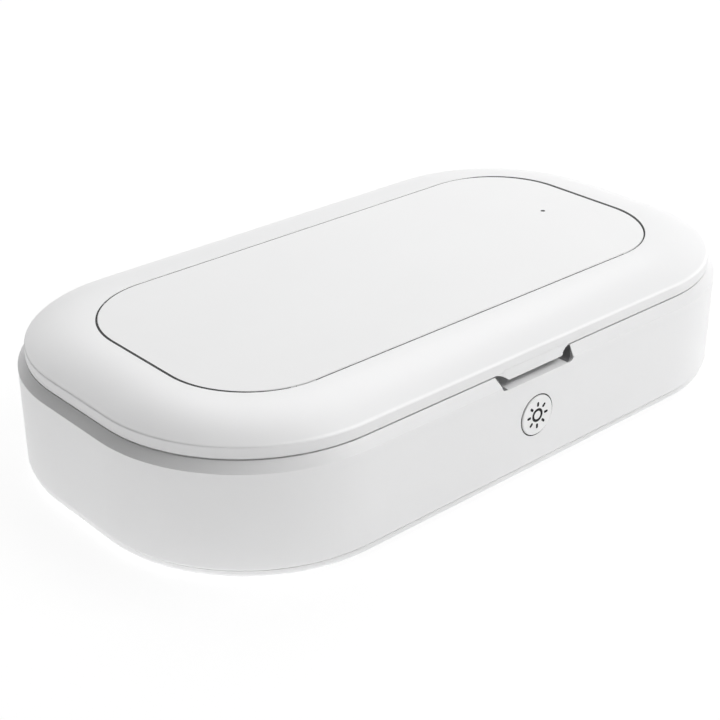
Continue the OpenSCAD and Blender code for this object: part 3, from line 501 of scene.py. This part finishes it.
def screws(name, node, body, places, shank_r, head_r, head_h, length, turn=None, pitch=0.8, point=True):
    """One piece for all the screws of a node; each gets its own turn of the recess."""
    shape = Shape()
    draw = random.Random(name)
    for place in places:
        spin = Matrix.Rotation(draw.uniform(0, math.pi / 2), 4, "Z")
        shape.add(screw(shank_r, length, head_r, head_h, pitch, point), at(*place, turn) @ spin)
    shape.piece(name, "steel", body, (node,), sharp=40)


screws(
    "cover_screw_set", "cover_screws", "base", [(x, y, 4.2) for x, y in COVER_SCREWS],
    shank_r=1.1, head_r=2.6, head_h=1.6, length=11)
screws(
    "lid_screw_set", "lid_screws", "lid", [(x, y, 39.2) for x, y in LID_SCREWS],
    shank_r=0.85, head_r=2.3, head_h=1.2, length=3.4, pitch=0.6)
screws(
    "board_screw_set", "board_screws", "base", [(x, y, CONTROL_TOP) for x, y in CONTROL_SCREWS],
    shank_r=0.78, head_r=1.9, head_h=1.0, length=2.9, turn=FLIP, pitch=0.5, point=False)
screws(
    "charger_screw_set", "charger_screws", "lid", [(x, y, CHARGER_TOP) for x, y in CHARGER_SCREWS],
    shank_r=0.78, head_r=1.8, head_h=0.7, length=2.4, turn=FLIP, pitch=0.5, point=False)
screws(
    "button_screw_set", "button_screws", "base", [(x, -52.3, BUTTON_Z) for x in (-11.2, 11.2)],
    shank_r=0.78, head_r=1.8, head_h=1.0, length=5.2, turn=OUT_FRONT, pitch=0.5)

pins = Shape()
for side in (-1, 1):
    pins.add(
        lathe(both_ends([(0.55, 14.3), (0.85, 14.24), (1.0, 14.05)]), 32),
        at(side * HINGE_X, HINGE_Y, HINGE_Z, ALONG_X))
pins.piece("hinge_pin_pair", "steel", "base", ("hinge_pins",))

# ---------------------------------------------------------------- button

button = Shape()
button.add(lathe([
    (1.8, -5.6), (2.0, -5.4), (2.0, -2.0), (4.8, -2.0), (4.8, -3.6), (7.5, -3.6), (7.6, -3.5), (7.6, -2.55),
    (7.5, -2.45), (6.2, -2.45), (6.2, 0.06), (6.16, 0.2), (6.06, 0.31), (5.92, 0.38), (5.76, 0.4),
    (5.5, 0.392), (4.9, 0.35), (4.0, 0.305), (2.8, 0.27), (1.4, 0.25), (0.4, 0.245)], 96), BUTTON)
button.piece("button_cap", "button_white", "button", ("power_button",), sharp=50)

icon = Shape()
icon.add(hollow([
    (1.33, 0.2), (2.16, 0.2), (2.16, 0.28), (2.12, 0.3), (1.37, 0.3), (1.33, 0.28)], 64), BUTTON)
for k in range(8):
    ray = outline_block(rounded_outline(3.52, 0, 0.76, 0.4, 0.39), 0.2, 0.345, 0.02)
    icon.add(ray, BUTTON @ Matrix.Rotation(math.pi / 4 * k, 4, "Z"))
icon.piece("sun_icon", "part_black", "button", material=PRINT)

# Dark ring in the button's gap, standing in for the gap's shade
gap_ring = Shape()
gap_ring.add(hollow([
    (6.26, -1.6), (6.6, -1.6), (6.6, -0.06), (6.54, -0.03), (6.32, -0.03), (6.26, -0.06)], 96), BUTTON)
gap_ring.piece("button_gap_shade_ring", "seal_rubber", "base", material=SHADE_FILLER)

# ---------------------------------------------------------------- dark bead in the panel's seam, standing in for its shade


def around(corner_x, corner_y, steps=14, straight=12):
    """Corner centre and outward direction of each point round a rounded oblong."""
    out = []
    for quarter, (sx, sy, start) in enumerate(QUARTERS):
        for i in range(steps + 1):
            a = math.radians(start + 90 * i / steps)
            out.append((Vector((sx * corner_x, sy * corner_y, 0)), Vector((math.cos(a), math.sin(a), 0))))
        here, way = out[-1]
        ahead = QUARTERS[(quarter + 1) % 4]
        there = Vector((ahead[0] * corner_x, ahead[1] * corner_y, 0))
        for i in range(1, straight):
            out.append((here.lerp(there, i / straight), way))
    return out


def swept_loop(places, section):
    """Closed loop; section gives the (radius, z) outline for an outward direction."""
    rings = [[c + d * r + Vector((0, 0, z)) for r, z in section(d)] for c, d in places]
    return rings_to_mesh([*rings, rings[0]], cap=False)


# The bead fills the seam with 0.02 mm to spare at each side
BEAD_IN, BEAD_OUT = 27.37, 27.78
BEAD_FOOT, BEAD_SHOULDER, BEAD_LOW, BEAD_HIGH = 43.45, 45.1, 45.2, 45.57


def panel_section(d):
    """The dark bead, which stands in for the seam's shade, rises at the two ends and stays low at the front
    and rear.
    """
    k = (abs(d.x * SEAM_SHADE_WAY[0] + d.y * SEAM_SHADE_WAY[1]) - SEAM_SHADE_FROM) / (SEAM_SHADE_TO - SEAM_SHADE_FROM)
    k = max(0.0, min(1.0, k)) ** SEAM_SHADE_POWER
    low = BEAD_LOW + 0.22 * d.y
    top = low + (BEAD_HIGH - low) * k
    over = 0.18 * k
    return [
        (BEAD_IN, BEAD_FOOT), (BEAD_OUT, BEAD_FOOT), (BEAD_OUT, BEAD_SHOULDER), (BEAD_OUT + over, top),
        ((BEAD_IN + BEAD_OUT) / 2, top + 0.02), (BEAD_IN - over, top), (BEAD_IN, BEAD_SHOULDER)]


# Dark bead in the panel's seam, standing in for the seam's shade
seam_bead = Shape()
seam_bead.add(swept_loop(around(*PANEL_CORNER), panel_section))
seam_bead.piece("panel_seam_shade_bead", "seal_rubber", "lid", material=SHADE_FILLER, sharp=60)

# ---------------------------------------------------------------- finger notch

# Thin dark sheet on each end wall of the notch, standing in for the shade there, as (x, z) points on the wall
# and on the sheet's own face;
# its front follows the sloped band above BAND_Z
BAND_Z, BAND_Y, BAND_SLOPE = 34.3, -63.75, 0.75
SHADE_SHEET_WALL = [
    (12.4, 33.16), (12.9, 33.2), (13.5, 33.42), (13.95, 33.8), (14.3, 34.3), (14.72, 34.9), (15.06, 35.9),
    (15.36, 36.85)]
SHADE_SHEET_FACE = [
    (12.5, 33.28), (12.85, 33.31), (13.4, 33.53), (13.84, 33.89), (14.18, 34.36), (14.6, 34.95),
    (14.94, 35.93), (15.24, 36.85)]
shade_sheet = Shape()
for side in (-1, 1):
    section = SHADE_SHEET_WALL + SHADE_SHEET_FACE[::-1]
    shade_sheet.add(rings_to_mesh([
        [(side * x, max(y, BAND_Y + BAND_SLOPE * max(0.0, z - BAND_Z)), z) for x, z in section]
        for y in (FRONT_Y, -60.5, -55.6)]))
shade_sheet.piece("notch_shade_sheet", "seal_rubber", "base", material=NOTCH_SHADE, sharp=60)

# Webs from the pull tab's ends to the lid's rim, behind the tab's hollow face
HOLLOW_Y, HOLLOW_Z, HOLLOW_RADIUS = -65.3, 38, 3.6
WEB = [
    (11.5, 36.05), (11.76, 36.05), (12.15, 36.22), (12.6, 36.5), (13.2, 36.85), (13.9, 37.17), (14.75, 37.42),
    (14.8, 37.52), (11.5, 37.52)]
webs = Shape()
for side in (-1, 1):
    front = [
        (side * x, HOLLOW_Y + math.sqrt(HOLLOW_RADIUS ** 2 - (z - HOLLOW_Z) ** 2), z) for x, z in WEB]
    webs.add(rings_to_mesh([front, [(side * x, -59.5, z) for x, z in WEB]]))
webs.piece("tab_webs", "shell_white", "lid", sharp=40)

# ---------------------------------------------------------------- feet

feet = Shape()
for x in (-80, 80):
    for y in (-40, 40):
        feet.add(lathe([
            (0.5, 0.3), (1.0, 0.3), (1.25, 0.0), (2.15, 0.0), (2.4, 0.3), (2.75, 0.3), (3.0, 0.0), (3.9, 0.0),
            (4.15, 0.3), (4.5, 0.3), (4.75, 0.0), (5.3, 0.0), (5.7, 0.14), (5.93, 0.45), (6.0, 0.85),
            (6.0, 2.9), (5.9, 3.0)], 64), at(x, y, 0))
feet.piece("foot_pad_set", "foot_rubber", "base", ("rubber_feet",))

# ---------------------------------------------------------------- lamps

TUBE_OUTSIDE = both_ends([(0.4, 72), (1.2, 71.85), (1.75, 71.4), (1.97, 70.8), (2.0, 70)])
TUBE_INSIDE = both_ends([(0.3, 70.2), (1.1, 69.8), (1.5, 69)])
for name, node, z, body in (
        ("lower_lamp_tube", "lower_uv_lamp", LOWER_LAMP_Z, "base"),
        ("upper_lamp_tube", "upper_uv_lamp", UPPER_LAMP_Z, "lid")):
    glass = Shape()
    for profile in (TUBE_OUTSIDE, TUBE_INSIDE):
        glass.add(lathe(profile), at(0, 0, z, ALONG_X))
    glass.piece(name, "lamp_glass", body, (node,))
    electrodes = Shape()
    for turned in (math.pi, 0):
        end = at(0, 0, z, ALONG_X @ Matrix.Rotation(turned, 4, "X"))
        electrodes.add(hollow([
            (0.95, 57.5), (1.05, 57.5), (1.05, 65.5), (0.3, 66.6), (0.25, 66.4), (0.95, 65.3)], 24), end)
        for k in (58.2, 59.4, 60.6):
            electrodes.add(hollow([(1.04, k), (1.12, k + 0.08), (1.12, k + 0.32), (1.04, k + 0.4)], 24), end)
        electrodes.add(tube([(0, 0, 66.2), (0, 0, 68), (0.05, 0, 69.6), (0, 0, 70.6)], 0.22, 8), end)
    electrodes.piece(name.replace("tube", "electrodes"), "magnet_nickel", body)

# ---------------------------------------------------------------- rack

# Each cross wire is welded to the two long ones, with a bead of uneven width at each of its sides
RACK_WIRES, RACK_HALF_X, RACK_HALF_Y, WIRE_Z = 10, 73, 37, 16.36
BEAD_RINGS, BEAD_SIDES = 7, 12
welds = Shape()
draw = random.Random(7)
for i in range(RACK_WIRES):
    x = -RACK_HALF_X + 2 * RACK_HALF_X / (RACK_WIRES - 1) * i
    for side in (-1, 1):
        for k in (-1, 1):
            rings = []
            for j in range(BEAD_RINGS):
                t = math.pi * j / (BEAD_RINGS - 1)
                wide = 0.55 * math.sin(t) + 0.02
                rings.append([(
                    x + k * 0.62 + wide * (1 + 0.12 * draw.random()) * math.cos(a),
                    side * RACK_HALF_Y + 0.9 * math.cos(t), WIRE_Z + wide * 0.85 * math.sin(a))
                    for a in (2 * math.pi * n / BEAD_SIDES for n in range(BEAD_SIDES))])
            welds.add(rings_to_mesh(rings))
for x in (-67, 67):
    for y in (-RACK_HALF_Y, RACK_HALF_Y):
        weld = hollow([(0.98, 14.2), (1.5, 14.6), (1.62, 15.2), (1.3, 15.8), (0.98, 16.1)], 24)
        welds.add(weld, at(x, y, 0))
welds.piece("rack_welds", "rack_chrome", "base")

# ---------------------------------------------------------------- moulding marks


def ejector_marks(name, body, spots, radius, foot, crest):
    """Faint rings that a mould's ejector pins leave."""
    marks = Shape()
    profile = [(radius - 0.1, foot), (radius + 0.1, foot), (radius + 0.08, crest), (radius - 0.08, crest)]
    for x, y in spots:
        marks.add(hollow(profile, 40), at(x, y, 0))
    marks.piece(name, "liner_grey", body)


ejector_marks(
    "tray_ejector_marks", "base",
    [(x, y) for x in (-88, -52, -18, 18, 52, 88) for y in ((-31, 31) if abs(x) < 80 else (-17, 17))],
    radius=3.0, foot=10.18, crest=10.25)
ejector_marks(
    "liner_ejector_marks", "lid", [(x, y) for x in (-84, -44, 0, 44, 84) for y in (-27, 27)],
    radius=2.5, foot=37.82, crest=37.75)

# ---------------------------------------------------------------- inlet

# Twelve contacts on each face of the tongue; the power and ground ones reach further out
contacts = Shape()
for k in range(12):
    x = -2.75 + 0.5 * k
    mouth = 62.9 if k in (0, 3, 8, 11) else 62.6
    for z0, z1 in ((8.93, 8.96), (8.2, 8.23)):
        contacts.add(outline_block(oblong(x - 0.13, 58.0, x + 0.13, mouth), z0, z1, 0.01))
contacts.piece("inlet_contacts", "coil_copper", "base", material=GOLD)

# ---------------------------------------------------------------- coil

COIL_TURNS, COIL_STEPS, COIL_IN, COIL_OUT, COIL_Z = 12, 56, 10.5, 21.5, 42.8
# Where the charging board's solder takes the coil's two leads
COIL_LEAD_END_X = 42.4
path = []
for i in range(COIL_TURNS * COIL_STEPS + 1):
    a = 2 * math.pi * i / COIL_STEPS
    r = COIL_IN + (COIL_OUT - COIL_IN) * i / (COIL_TURNS * COIL_STEPS)
    path.append((r * math.cos(a), r * math.sin(a), COIL_Z))
path += [(22.1, 0.8, COIL_Z), (24, 1.6, 42.85), (30, 2.0, 42.85), (38, 2.2, 42.85), (41.8, 2.2, 42.85)]
coil = Shape()
coil.add(tube(path, 0.44, 8))
coil.add(tube([
    (COIL_IN, 0, 42.75), (11.0, -1.4, 43.2), (13, -2.2, 43.22), (30, -2.6, 43.1), (38, -2.6, 42.9),
    (41.8, -2.6, 42.85)], 0.16, 8))
coil.piece("wound_coil", "coil_copper", "lid", ("charging_coil",))

tapes = Shape()
for a in (0.7, 2.8, 4.9):
    tapes.add(outline_block(oblong(10.0, -1.1, 22.0, 1.1), 43.26, 43.36, 0.03), Matrix.Rotation(a, 4, "Z"))
tapes.piece("coil_tapes", "lamp_cap_white", "lid")

# ---------------------------------------------------------------- transformer

# Winding round the square core: a circle, cut off at the core's faces, that moves along X
WINDING_TURNS, WINDING_STEPS = 20, 16
WINDING_X, WINDING_LENGTH, WINDING_Y, WINDING_Z = 22.35, 9.3, 54.4, 11.4
path = []
for i in range(WINDING_TURNS * WINDING_STEPS):
    t = i / WINDING_STEPS
    a = 2 * math.pi * t
    path.append((
        WINDING_X + WINDING_LENGTH * t / WINDING_TURNS,
        WINDING_Y + max(-1.0, min(1.0, 1.5 * math.cos(a))) * 4.54,
        WINDING_Z + max(-1.0, min(1.0, 1.5 * math.sin(a))) * 2.06))
winding = Shape()
winding.add(tube(path, 0.2, 8))
winding.piece("transformer_winding", "coil_copper", "base")

# ---------------------------------------------------------------- boards

# Side view of a chip's flat leg, as (distance out, height over the board), and its half width
LEG = [
    (0, 0.5), (0.27, 0.5), (0.495, 0.14), (0.9, 0.14), (0.9, 0.02), (0.405, 0.02), (0.225, 0.38), (0, 0.38)]
LEG_HALF_WIDTH = 0.15


def leg(x, y, dx, dy, z):
    """Bent flat leg from a chip's side down to its board."""
    side = Vector((-dy, dx, 0)) * LEG_HALF_WIDTH
    line = [Vector((x, y, z)) + Vector((dx, dy, 0)) * out + Vector((0, 0, up)) for out, up in LEG]
    return rings_to_mesh([[p - side for p in line], [p + side for p in line]])


def chip_legs(shape, low, high, z, pitch, sides):
    """Legs of a chip; sides names the axes along which they stick out."""
    for way in "yx":
        if way not in sides:
            continue
        row = 0 if way == "y" else 1
        gaps = int((high[row] - low[row] - 1) / pitch)
        for k in range(gaps + 1):
            c = (low[row] + high[row]) / 2 + (k - gaps / 2) * pitch
            for edge, sign in ((low, -1), (high, 1)):
                shape.add(leg(c, edge[1], 0, sign, z) if way == "y" else leg(edge[0], c, sign, 0, z))


def small_parts(dark, pale, solder, spots, z):
    """Two-ended surface parts, alternately pale and dark, with their end caps and solder."""
    for i, (x, y, along) in enumerate(spots):
        m = at(x, y, 0, Matrix.Rotation(math.pi / 2 if along else 0, 4, "Z"))
        (dark if i % 2 else pale).add(chip_block((-0.55, -0.5, z), (0.55, 0.5, z + 0.45), 0.08, 0.05), m)
        for side in (-0.75, 0.75):
            solder.add(chip_block((side - 0.22, -0.52, z), (side + 0.22, 0.52, z + 0.47), 0.08, 0.06), m)
            pad = side * 1.44
            solder.add(chip_block((pad - 0.16, -0.5, z - 0.01), (pad + 0.16, 0.5, z + 0.12), 0.08, 0.04), m)


def board_pieces(prefix, body, dark, pale, solder):
    solder.piece(prefix + "_solder", "steel", body)
    dark.piece(prefix + "_resistors", "part_black", body)
    pale.piece(prefix + "_ceramics", "lamp_cap_white", body)


solder, dark, pale = Shape(), Shape(), Shape()
chip_legs(solder, (-24, 23.9), (-14, 33.9), CONTROL_TOP, 0.8, "xy")
chip_legs(solder, (6, 20.9), (16, 24.9), CONTROL_TOP, 1.27, "y")
chip_legs(solder, (22, 27.9), (28, 32.9), CONTROL_TOP, 1.0, "x")
spots = [(-30 + 4.2 * (i % 13), 38.4 + 3.4 * (i // 13), (i * 7) % 3 == 0) for i in range(30)]
small_parts(dark, pale, solder, spots, CONTROL_TOP)
for x, y in CONTROL_SCREWS:
    solder.add(hollow([(1.15, 6.99), (2.6, 6.99), (2.6, 7.03), (1.15, 7.03)], 32), at(x, y, 0))
for x in (17.6, 36.4):
    for y in (51.4, 57.4):
        solder.add(lathe([(0.9, CONTROL_TOP), (0.6, 7.2), (0.3, 7.6), (0.2, 7.75)], 16), at(x, y, 0))
for k in range(4):
    y = 44 + 2.5 * k
    pale.add(chip_block((-40.5, y, CONTROL_TOP), (-35.5, y + 2.2, 8.3), 0.2, 0.15))
    solder.add(tube([(-40.9, y + 1.1, 7.05), (-41.0, y + 1.1, 7.6), (-40.4, y + 1.1, 7.7)], 0.25, 8))
board_pieces("board", "base", dark, pale, solder)

solder, dark, pale = Shape(), Shape(), Shape()
chip_legs(solder, (46.9, 4), (52.9, 10), CHARGER_TOP, 0.8, "xy")
chip_legs(solder, (46.9, -10), (51.9, -5), CHARGER_TOP, 1.0, "y")
spots = [
    (57 + 3.4 * (i % 4), -11 + 3.6 * (i // 4), i % 3 == 0) for i in range(24) if i not in (12, 13, 14)]
small_parts(dark, pale, solder, spots, CHARGER_TOP)
for y in (2.2, -2.6):
    joint = lathe([(1.0, CHARGER_TOP), (0.85, 42.75), (0.5, 43.1), (0.2, 43.25)], 20)
    solder.add(joint, at(COIL_LEAD_END_X, y, 0))
board_pieces("charger", "lid", dark, pale, solder)

# ---------------------------------------------------------------- switch and sensor

plate = Shape()
plate.add(hollow([(1.95, -6.98), (2.75, -6.98), (2.75, -6.9), (1.95, -6.9)], 40), BUTTON)
for x in (-2.4, 2.4):
    for y in (-2.4, 2.4):
        plate.add(lathe([(0.35, -7.0), (0.35, -6.86), (0.2, -6.8)], 16), BUTTON @ at(x, y, 0))
        out = x * 1.55
        pin = [(x * 1.2, y * 0.9, -8.6), (out, y * 0.9, -9.2), (out, y * 0.9, -12.2)]
        plate.add(tube(pin, 0.25, 8), BUTTON)
plate.piece("switch_frame", "steel", "base")

legs = Shape()
for x in (22.9, 24, 25.1):
    legs.add(tube([(x, -52.4, 31.5), (x, -52.4, 30.6), (x, -52.0, 30.2), (x, -51.2, 30.1)], 0.22, 8))
legs.piece("sensor_legs", "steel", "base")

# ---------------------------------------------------------------- lights and world, in metres

# Radiance of each source: 1 lights a white surface that it surrounds to full white
GLOW = 0.31
NEAR_GLOW = 1.5
SKY = 0.0
BOX = (0, 0, 0.03)
PANELS = {
    "overhead": ((0.0, 0.0, 1.2), BOX, 1.0, 0.32),
    "right_rear_high": ((0.5, 0.5, 1.0), BOX, 0.8, 3.09),
    "right_front_high": ((0.5, -0.5, 1.0), BOX, 0.8, 4.67),
    "back": ((0.1, 1.1, 0.7), BOX, 0.9, 0.8),
    "right": ((1.1, 0.0, 0.45), BOX, 0.8, 0.07),
    "front_low": ((0.1, -1.3, 0.16), BOX, 0.5, 2.9),
    "left_bounce": ((-0.27, -0.02, 0.002), (-0.27, -0.02, 1.0), 0.26, 0.36)}
for light_name, (place, target, size, radiance) in PANELS.items():
    data = bpy.data.lights.new("light_" + light_name, "AREA")
    data.shape = "SQUARE"
    data.size = size
    data.energy = radiance * math.pi * size * size
    light = bpy.data.objects.new("light_" + light_name, data)
    bpy.context.scene.collection.objects.link(light)
    light.location = place
    light.rotation_mode = "QUATERNION"
    light.rotation_quaternion = (Vector(target) - light.location).to_track_quat("-Z", "Y")
    light.visible_camera = False


def seen_directly(t):
    """1 for camera, glossy and transmission rays, else 0."""
    path = add_node(t, "LightPath").outputs
    shiny = maths(t, "MAXIMUM", path["Is Camera Ray"], path["Is Glossy Ray"])
    return maths(t, "MAXIMUM", shiny, path["Is Transmission Ray"])


def mix_shaders(t, factor, first, second):
    return add_node(t, "MixShader", {0: factor, 1: first, 2: second}).outputs[0]


world = bpy.data.worlds.new("world")
bpy.context.scene.world = world
wt, world_surface = empty_tree(world, "ShaderNodeOutputWorld")
lit, seen = (
    add_node(wt, "Background", {"Color": (1, 1, 1, 1), "Strength": strength}).outputs[0]
    for strength in (SKY, 1.0))
wt.links.new(mix_shaders(wt, seen_directly(wt), lit, seen), world_surface)

# ---------------------------------------------------------------- floor, in metres

FLOOR = 6.0
FLOOR_GREY = (0.9, 0.9, 0.9, 1)
# Glow beside the box: how far it keeps its strength, how fast it falls, and how it grows to the left
GLOW_REACH, GLOW_FALL, GLOW_SLOPE = 0.05, -40.0, -14.0
# Share of plain white that is seen instead of the lit floor: near the box, and what is added far from it
WHITE_NEAR, WHITE_ADDED, FAR_FROM = 0.87, 0.13, 0.4

floor_mesh = bpy.data.meshes.new("floor")
floor_mesh.from_pydata([(x, y, 0) for x, y in oblong(-FLOOR, -FLOOR, FLOOR, FLOOR)], [], [(0, 1, 2, 3)])
floor = bpy.data.objects.new("floor", floor_mesh)
bpy.context.scene.collection.objects.link(floor)
floor_material = bpy.data.materials.new("floor")
ft, floor_surface = empty_tree(floor_material, "ShaderNodeOutputMaterial")
floor_mesh.materials.append(floor_material)

# The floor near the box's left end glows more, but only in diffuse light, as a pale table would
geometry = add_node(ft, "NewGeometry").outputs
x, y, _ = axes(ft, geometry["Position"])
away, over_x, _ = from_corners(ft, x, y, BODY_CORNER)
past = maths(ft, "MAXIMUM", maths(ft, "SUBTRACT", away, GLOW_REACH), 0.0)
near = maths(ft, "EXPONENT", maths(ft, "MULTIPLY", past, GLOW_FALL))
left = maths(ft, "MINIMUM", maths(ft, "MULTIPLY", maths(ft, "MINIMUM", over_x, 0.0), GLOW_SLOPE), 1.0)
direct = seen_directly(ft)
unseen = maths(ft, "MULTIPLY", maths(ft, "SUBTRACT", 1.0, direct), NEAR_GLOW)
extra = maths(ft, "MULTIPLY", maths(ft, "MULTIPLY", near, left), unseen)
glow = add_node(ft, "Emission", {"Strength": maths(ft, "ADD", extra, GLOW)}).outputs[0]
grey = add_node(ft, "BsdfDiffuse", {"Color": FLOOR_GREY}).outputs[0]
lit = add_node(ft, "AddShader", {0: grey, 1: glow}).outputs[0]

# What the camera sees is mostly white with the box's shadow, plain white far off, and nothing from below
far = clamp(ft, maths(ft, "SUBTRACT", away, FAR_FROM))
share = maths(ft, "MULTIPLY", direct, maths(ft, "MULTIPLY_ADD", far, WHITE_ADDED, WHITE_NEAR))
plain = add_node(ft, "Emission", {"Strength": 1.0}).outputs[0]
above = mix_shaders(ft, share, lit, plain)
clear = add_node(ft, "BsdfTransparent").outputs[0]
ft.links.new(mix_shaders(ft, geometry["Backfacing"], above, clear), floor_surface)

# ---------------------------------------------------------------- camera

# Fitted to edges of the box in the photo
CAMERA_AT = Vector((-294.255, -320.496, 236.485)) * MM
AZIMUTH, ELEVATION, ROLL = (math.radians(a) for a in (-41.474, 27.089, -0.282))
SENSOR_WIDTH, FOCAL_LENGTH = 36, 77.232
cam_data = bpy.data.cameras.new("camera")
cam_data.sensor_width = SENSOR_WIDTH
cam_data.lens = FOCAL_LENGTH
cam_data.clip_start = 0.01
cam_data.clip_end = 20
cam = bpy.data.objects.new("camera", cam_data)
bpy.context.scene.collection.objects.link(cam)
back = Vector((
    math.sin(AZIMUTH) * math.cos(ELEVATION), -math.cos(AZIMUTH) * math.cos(ELEVATION), math.sin(ELEVATION)))
right = Vector((0, 0, 1)).cross(back).normalized()
up = back.cross(right)
c, s = math.cos(ROLL), math.sin(ROLL)
rows = (c * right + s * up, -s * right + c * up, back)
cam.matrix_world = Matrix.Translation(CAMERA_AT) @ Matrix(rows).transposed().to_4x4()
bpy.context.scene.camera = cam
bpy.context.scene.view_settings.view_transform = "Standard"
